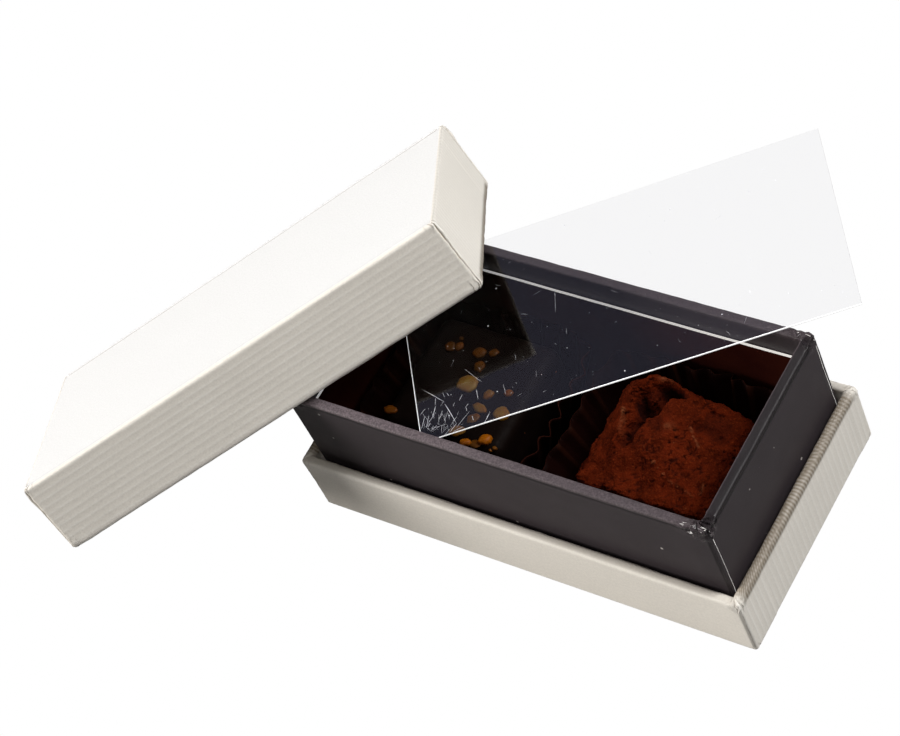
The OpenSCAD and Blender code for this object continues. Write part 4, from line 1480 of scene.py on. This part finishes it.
class BuildClearSheet(bpy.types.Operator):
    """Builds the clear cover sheet with its bright cut edges, scratches and dust"""

    bl_idname = "chocolate_box.clear_sheet"
    bl_label = "Clear sheet"

    def execute(self, context):
        wave, = in_mm("sheet_wave")

        def surface(x, y):
            """Slow wave of the sheet at a place."""
            return wave * noise.fractal(Vector((x * 0.03, y * 0.04, 0)), 1, 2, 2)

        columns, rows = 42, 20
        xs = [0.0] + [SHEET_LEN * i / columns for i in range(columns + 1)]
        ys = [0.0] + [SHEET_WID * j / rows for j in range(rows + 1)]

        def place(i, j):
            """A grid point; the front and left strips are narrow frosted bands of uneven width."""
            x, y = xs[i], ys[j]
            rough = noise.noise(Vector((x * 0.9, y * 0.9, 3)))
            front = 0.04 + 0.07 * min(1, x / 30) + 0.02 * rough
            left = 0.05 + 0.10 * max(0, 1 - y / 14) + 0.03 * rough
            return x + (left if i == 1 else 0), y + (front if j == 1 else 0)

        points, faces, frosted = [], [], []
        for z in (0.0, SHEET_T):
            for i in range(len(xs)):
                for j in range(len(ys)):
                    x, y = place(i, j)
                    points.append((x, y, z + surface(x, y)))
        high = len(ys)
        layer = len(xs) * high
        for i in range(len(xs) - 1):
            for j in range(len(ys) - 1):
                a = i * high + j
                b = a + high
                outer = i == 0 or j == 0
                faces += [(a, a + 1, b + 1, b),
                          (layer + a, layer + b, layer + b + 1, layer + a + 1)]
                frosted += [False, outer]
        wide = len(xs)
        # The cut edge all round, frosted where it faces the front and the left
        ring = ([i * high for i in range(wide)]
                + [(wide - 1) * high + j for j in range(1, high)]
                + [i * high + high - 1 for i in range(wide - 2, -1, -1)]
                + [j for j in range(high - 2, 0, -1)])
        for a, b in zip(ring, ring[1:] + ring[:1]):
            faces.append((a, b, layer + b, layer + a))
            near = max(a % high, b % high) == 0 or max(a // high, b // high) == 0
            frosted.append(near)
        made = make_mesh("clear_sheet_shown", points, faces)
        made.data.set_sharp_from_angle(angle=math.radians(30))
        matrix = sheet_matrix()
        made.matrix_world = matrix
        finish_piece(made, ["film", "film edge"], "sheet", ["clear_sheet"])
        made.data.polygons.foreach_set("material_index", [int(f) for f in frosted])
        self.scratches(surface, matrix)
        return {"FINISHED"}

    # Longer scratches, most near the front corner: middle x and y, direction, length and width
    STROKES = (
        (6.4, 4.1, 109, 5.0, 0.045), (3.6, 8.9, 134, 6.0, 0.022), (12.0, 6.3, 91, 2.2, 0.035),
        (3.3, 5.5, 66, 2.4, 0.03), (0.9, 4.0, 68, 2.7, 0.035), (1.8, 4.0, 71, 2.5, 0.03),
        (6.5, 1.0, 43, 2.1, 0.035), (8.6, 2.1, 40, 3.9, 0.02), (13.2, 0.9, 54, 2.5, 0.035),
        (11.8, 10.4, 127, 4.6, 0.018), (3.7, 2.2, 179, 3.3, 0.018), (8.8, 6.7, 54, 1.4, 0.025),
        (7.4, 0.4, 10, 2.1, 0.03), (29.6, 20.4, 83, 5.0, 0.015), (17.3, 5.5, 94, 2.2, 0.015),
    )

    def scratches(self, surface, matrix):
        """Fine curved scratches, most of them near the front corner, and dust specks."""
        rng = random.Random(SEED)
        points, faces, steps = [], [], 7
        near_corner, all_over, specks, large_specks = 44, 40, 180, 12
        strokes = list(self.STROKES)
        strokes += [(rng.triangular(0.4, 12, 2), rng.triangular(0.4, 9, 2),
                     rng.choice((68, 110, 45)) + rng.uniform(-22, 22), rng.uniform(0.5, 2.2),
                     rng.uniform(0.010, 0.024)) for _ in range(near_corner)]
        strokes += [(rng.uniform(8, 70), rng.uniform(2, 36), rng.uniform(0, 180),
                     rng.uniform(0.2, 1.6), rng.uniform(0.007, 0.014)) for _ in range(all_over)]

        def on_sheet(x, y):
            """Adds a point just over the sheet, kept within its edges."""
            x, y = min(max(x, 0.05), SHEET_LEN - 0.05), min(max(y, 0.05), SHEET_WID - 0.05)
            points.append((x, y, SHEET_T + surface(x, y) + 0.012))

        for x, y, turn, length, wide in strokes:
            bend = rng.uniform(-0.07, 0.07)
            a = math.radians(turn)
            faces += band_faces(len(points), 2, steps, closed=False, flip=True)
            for i in range(steps + 1):
                share = i / steps - 0.5
                bow = bend * length * (share ** 2 - 0.08)
                half = wide * (1 - (2 * share) ** 2) ** 0.5 * rng.uniform(0.6, 1.2) + 0.003
                for sign in (-1, 1):
                    dx, dy = turned(length * share, bow + sign * half, a)
                    on_sheet(x + dx, y + dy)
        for number in range(specks):
            x, y = rng.uniform(1, SHEET_LEN - 1), rng.uniform(1, SHEET_WID - 1)
            radius = 0.12 if number < large_specks else rng.triangular(0.02, 0.09, 0.025)
            start = len(points)
            for k in range(6):
                a = k * math.pi / 3
                size = radius * rng.uniform(0.5, 1.3)
                on_sheet(x + size * math.cos(a), y + size * math.sin(a))
            faces.append(tuple(range(start, start + 6)))
        made = make_mesh("clear_sheet_scratches", points, faces, smooth=False)
        solidify(made, -0.006)
        made.matrix_world = matrix
        finish_piece(made, ["scratch"], "sheet")


class FinishLinings(bpy.types.Operator):
    """Gives the linings that stay from the frame their own finish"""

    bl_idname = "chocolate_box.linings"
    bl_label = "Linings"

    def execute(self, context):
        for node in ("tray_lining", "lid_lining"):
            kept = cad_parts[node]
            kept.data.materials.clear()
            kept.data.materials.append(material_for("lining"))
        return {"FINISHED"}


class BuildStage(bpy.types.Operator):
    """Builds the pale floor, the soft lights and the camera"""

    bl_idname = "chocolate_box.stage"
    bl_label = "Floor, lights and camera"

    # The camera's place, where it looks, the way across its picture, its lens and sensor
    CAMERA_MM = (231.31, -193.63, 406.92)
    LOOK = (-0.51136, 0.38728, -0.76716)
    ACROSS = (0.82205, 0.48064, -0.30531)
    LENS, SENSOR = 105.72, 36.0
    AIM = (0, 0, 0.02)
    # Name, direction from the aim, distance, size, brightness setting and colour
    LAMPS = (
        ("Left lamp", (-0.805, -0.484, 0.342), 1.6, 0.576, "left", (1, 0.965, 0.92)),
        ("Front lamp", (0.235, -0.407, 0.883), 1.0, 0.5, "front", (1, 0.96, 0.90)),
        ("Right lamp", (0.472, 0.396, 0.788), 1.0, 0.45, "right", (1, 0.99, 0.98)),
        ("Side lamp", (0.62, 0.485, 0.616), 0.5, 0.225, "side", (1, 0.99, 0.98)),
        ("Overhead cloth", (-0.50, 0.06, 0.86), 1.3, 0.9, "cloth", (0.69, 0.69, 1.0)),
    )

    def execute(self, context):
        look = context.scene.stage_look
        self.floor(look)
        self.room(look)
        for name, towards, distance, size, key, colour in self.LAMPS:
            self.lamp(name, towards, distance, size, getattr(look, key), colour)
        self.camera()
        return {"FINISHED"}

    @staticmethod
    def show_to_camera(tree, seen, unseen, output):
        """Shows the camera one shader, and everything else another one."""
        camera_ray = add(tree, "ShaderNodeLightPath").outputs["Is Camera Ray"]
        mixed = add(tree, "ShaderNodeMixShader", {0: camera_ray, 1: unseen.outputs[0],
                                                  2: seen.outputs[0]})
        add(tree, output, {0: mixed.outputs[0]})

    def floor(self, look):
        """A wide floor that the camera sees as plain white."""
        half, z = 2500.0, -0.3
        corners = [(-half, -half, z), (half, -half, z), (half, half, z), (-half, half, z)]
        made = make_mesh("floor", corners, [(0, 1, 2, 3)], smooth=False)
        material = bpy.data.materials.new("Pale floor")
        tree = empty_tree(material)
        cloth = add(tree, "ShaderNodeBsdfDiffuse", {"Color": (*rgb(look.floor), 1)})
        glow = add(tree, "ShaderNodeEmission", {"Strength": 1.0})
        self.show_to_camera(tree, glow, cloth, "ShaderNodeOutputMaterial")
        made.data.materials.append(material)

    def room(self, look):
        """Weak even light, which the camera sees as plain white."""
        world = bpy.data.worlds.new("Studio")
        tree = empty_tree(world)
        even, white = (add(tree, "ShaderNodeBackground", {0: (1, 1, 1, 1), 1: strength})
                       for strength in (look.sky, 1.0))
        self.show_to_camera(tree, white, even, "ShaderNodeOutputWorld")
        bpy.context.scene.world = world
        bpy.context.scene.view_settings.view_transform = "Standard"

    def lamp(self, name, towards, distance, size, brightness, colour):
        """A square soft lamp that looks at the box from one direction."""
        data = bpy.data.lights.new(name, "AREA")
        data.shape, data.size, data.color = "SQUARE", size, colour
        data.energy = brightness * math.pi * size * size
        made = new_object(name, data)
        towards = Vector(towards).normalized()
        made.location = towards * distance + Vector(self.AIM)
        made.rotation_euler = (-towards).to_track_quat("-Z", "Y").to_euler()

    def camera(self):
        """The camera at the photograph's place."""
        across, look = Vector(self.ACROSS).normalized(), Vector(self.LOOK).normalized()
        up = across.cross(look)
        data = bpy.data.cameras.new("Camera")
        data.lens, data.sensor_width, data.sensor_fit = self.LENS, self.SENSOR, "HORIZONTAL"
        data.clip_start, data.clip_end = 0.01, 20
        made = new_object("Camera", data)
        turn = Matrix((across, up, -look)).transposed()
        made.matrix_world = Matrix.Translation(Vector(self.CAMERA_MM) * MM) @ turn.to_4x4()
        bpy.context.scene.camera = made


PIECES = (BuildTray, BuildNeck, BuildCardTray, BuildCups, BuildLeftChocolate, BuildTruffle,
          BuildClearSheet, BuildLid, FinishLinings, BuildStage)


class ChocolateBoxPanel(bpy.types.Panel):
    """Lists the box's pieces in the 3D view's sidebar"""

    bl_idname = "VIEW3D_PT_chocolate_box"
    bl_label = "Chocolate box"
    bl_space_type = "VIEW_3D"
    bl_region_type = "UI"
    bl_category = "Chocolate box"

    def draw(self, context):
        for name in HOLDERS:
            group = getattr(context.scene, name)
            column = self.layout.column(align=True)
            for key in group.bl_rna.properties.keys():
                if key not in ("rna_type", "name"):
                    column.prop(group, key)
        for piece in PIECES:
            self.layout.operator(piece.bl_idname)


HOLDERS = {"box_sizes": BoxSizes, "box_colours": BoxColours, "stage_look": StageLook}
CLASSES = (*HOLDERS.values(), *PIECES, ChocolateBoxPanel)


def register():
    """Tells Blender of every class and of the settings that a scene keeps."""
    for kind in CLASSES:
        bpy.utils.register_class(kind)
    for name, group in HOLDERS.items():
        setattr(bpy.types.Scene, name, bpy.props.PointerProperty(type=group))


def unregister():
    """Takes back what register has set up."""
    for name in reversed(HOLDERS):
        delattr(bpy.types.Scene, name)
    for kind in reversed(CLASSES):
        bpy.utils.unregister_class(kind)


def main():
    """Builds every piece and the stage."""
    register()
    maker = bpy.ops.chocolate_box
    maker.tray()
    maker.neck()
    maker.card_tray()
    maker.cups()
    maker.left_chocolate()
    maker.truffle()
    maker.clear_sheet()
    maker.lid()
    maker.linings()
    maker.stage()


if __name__ == "__main__":
    main()
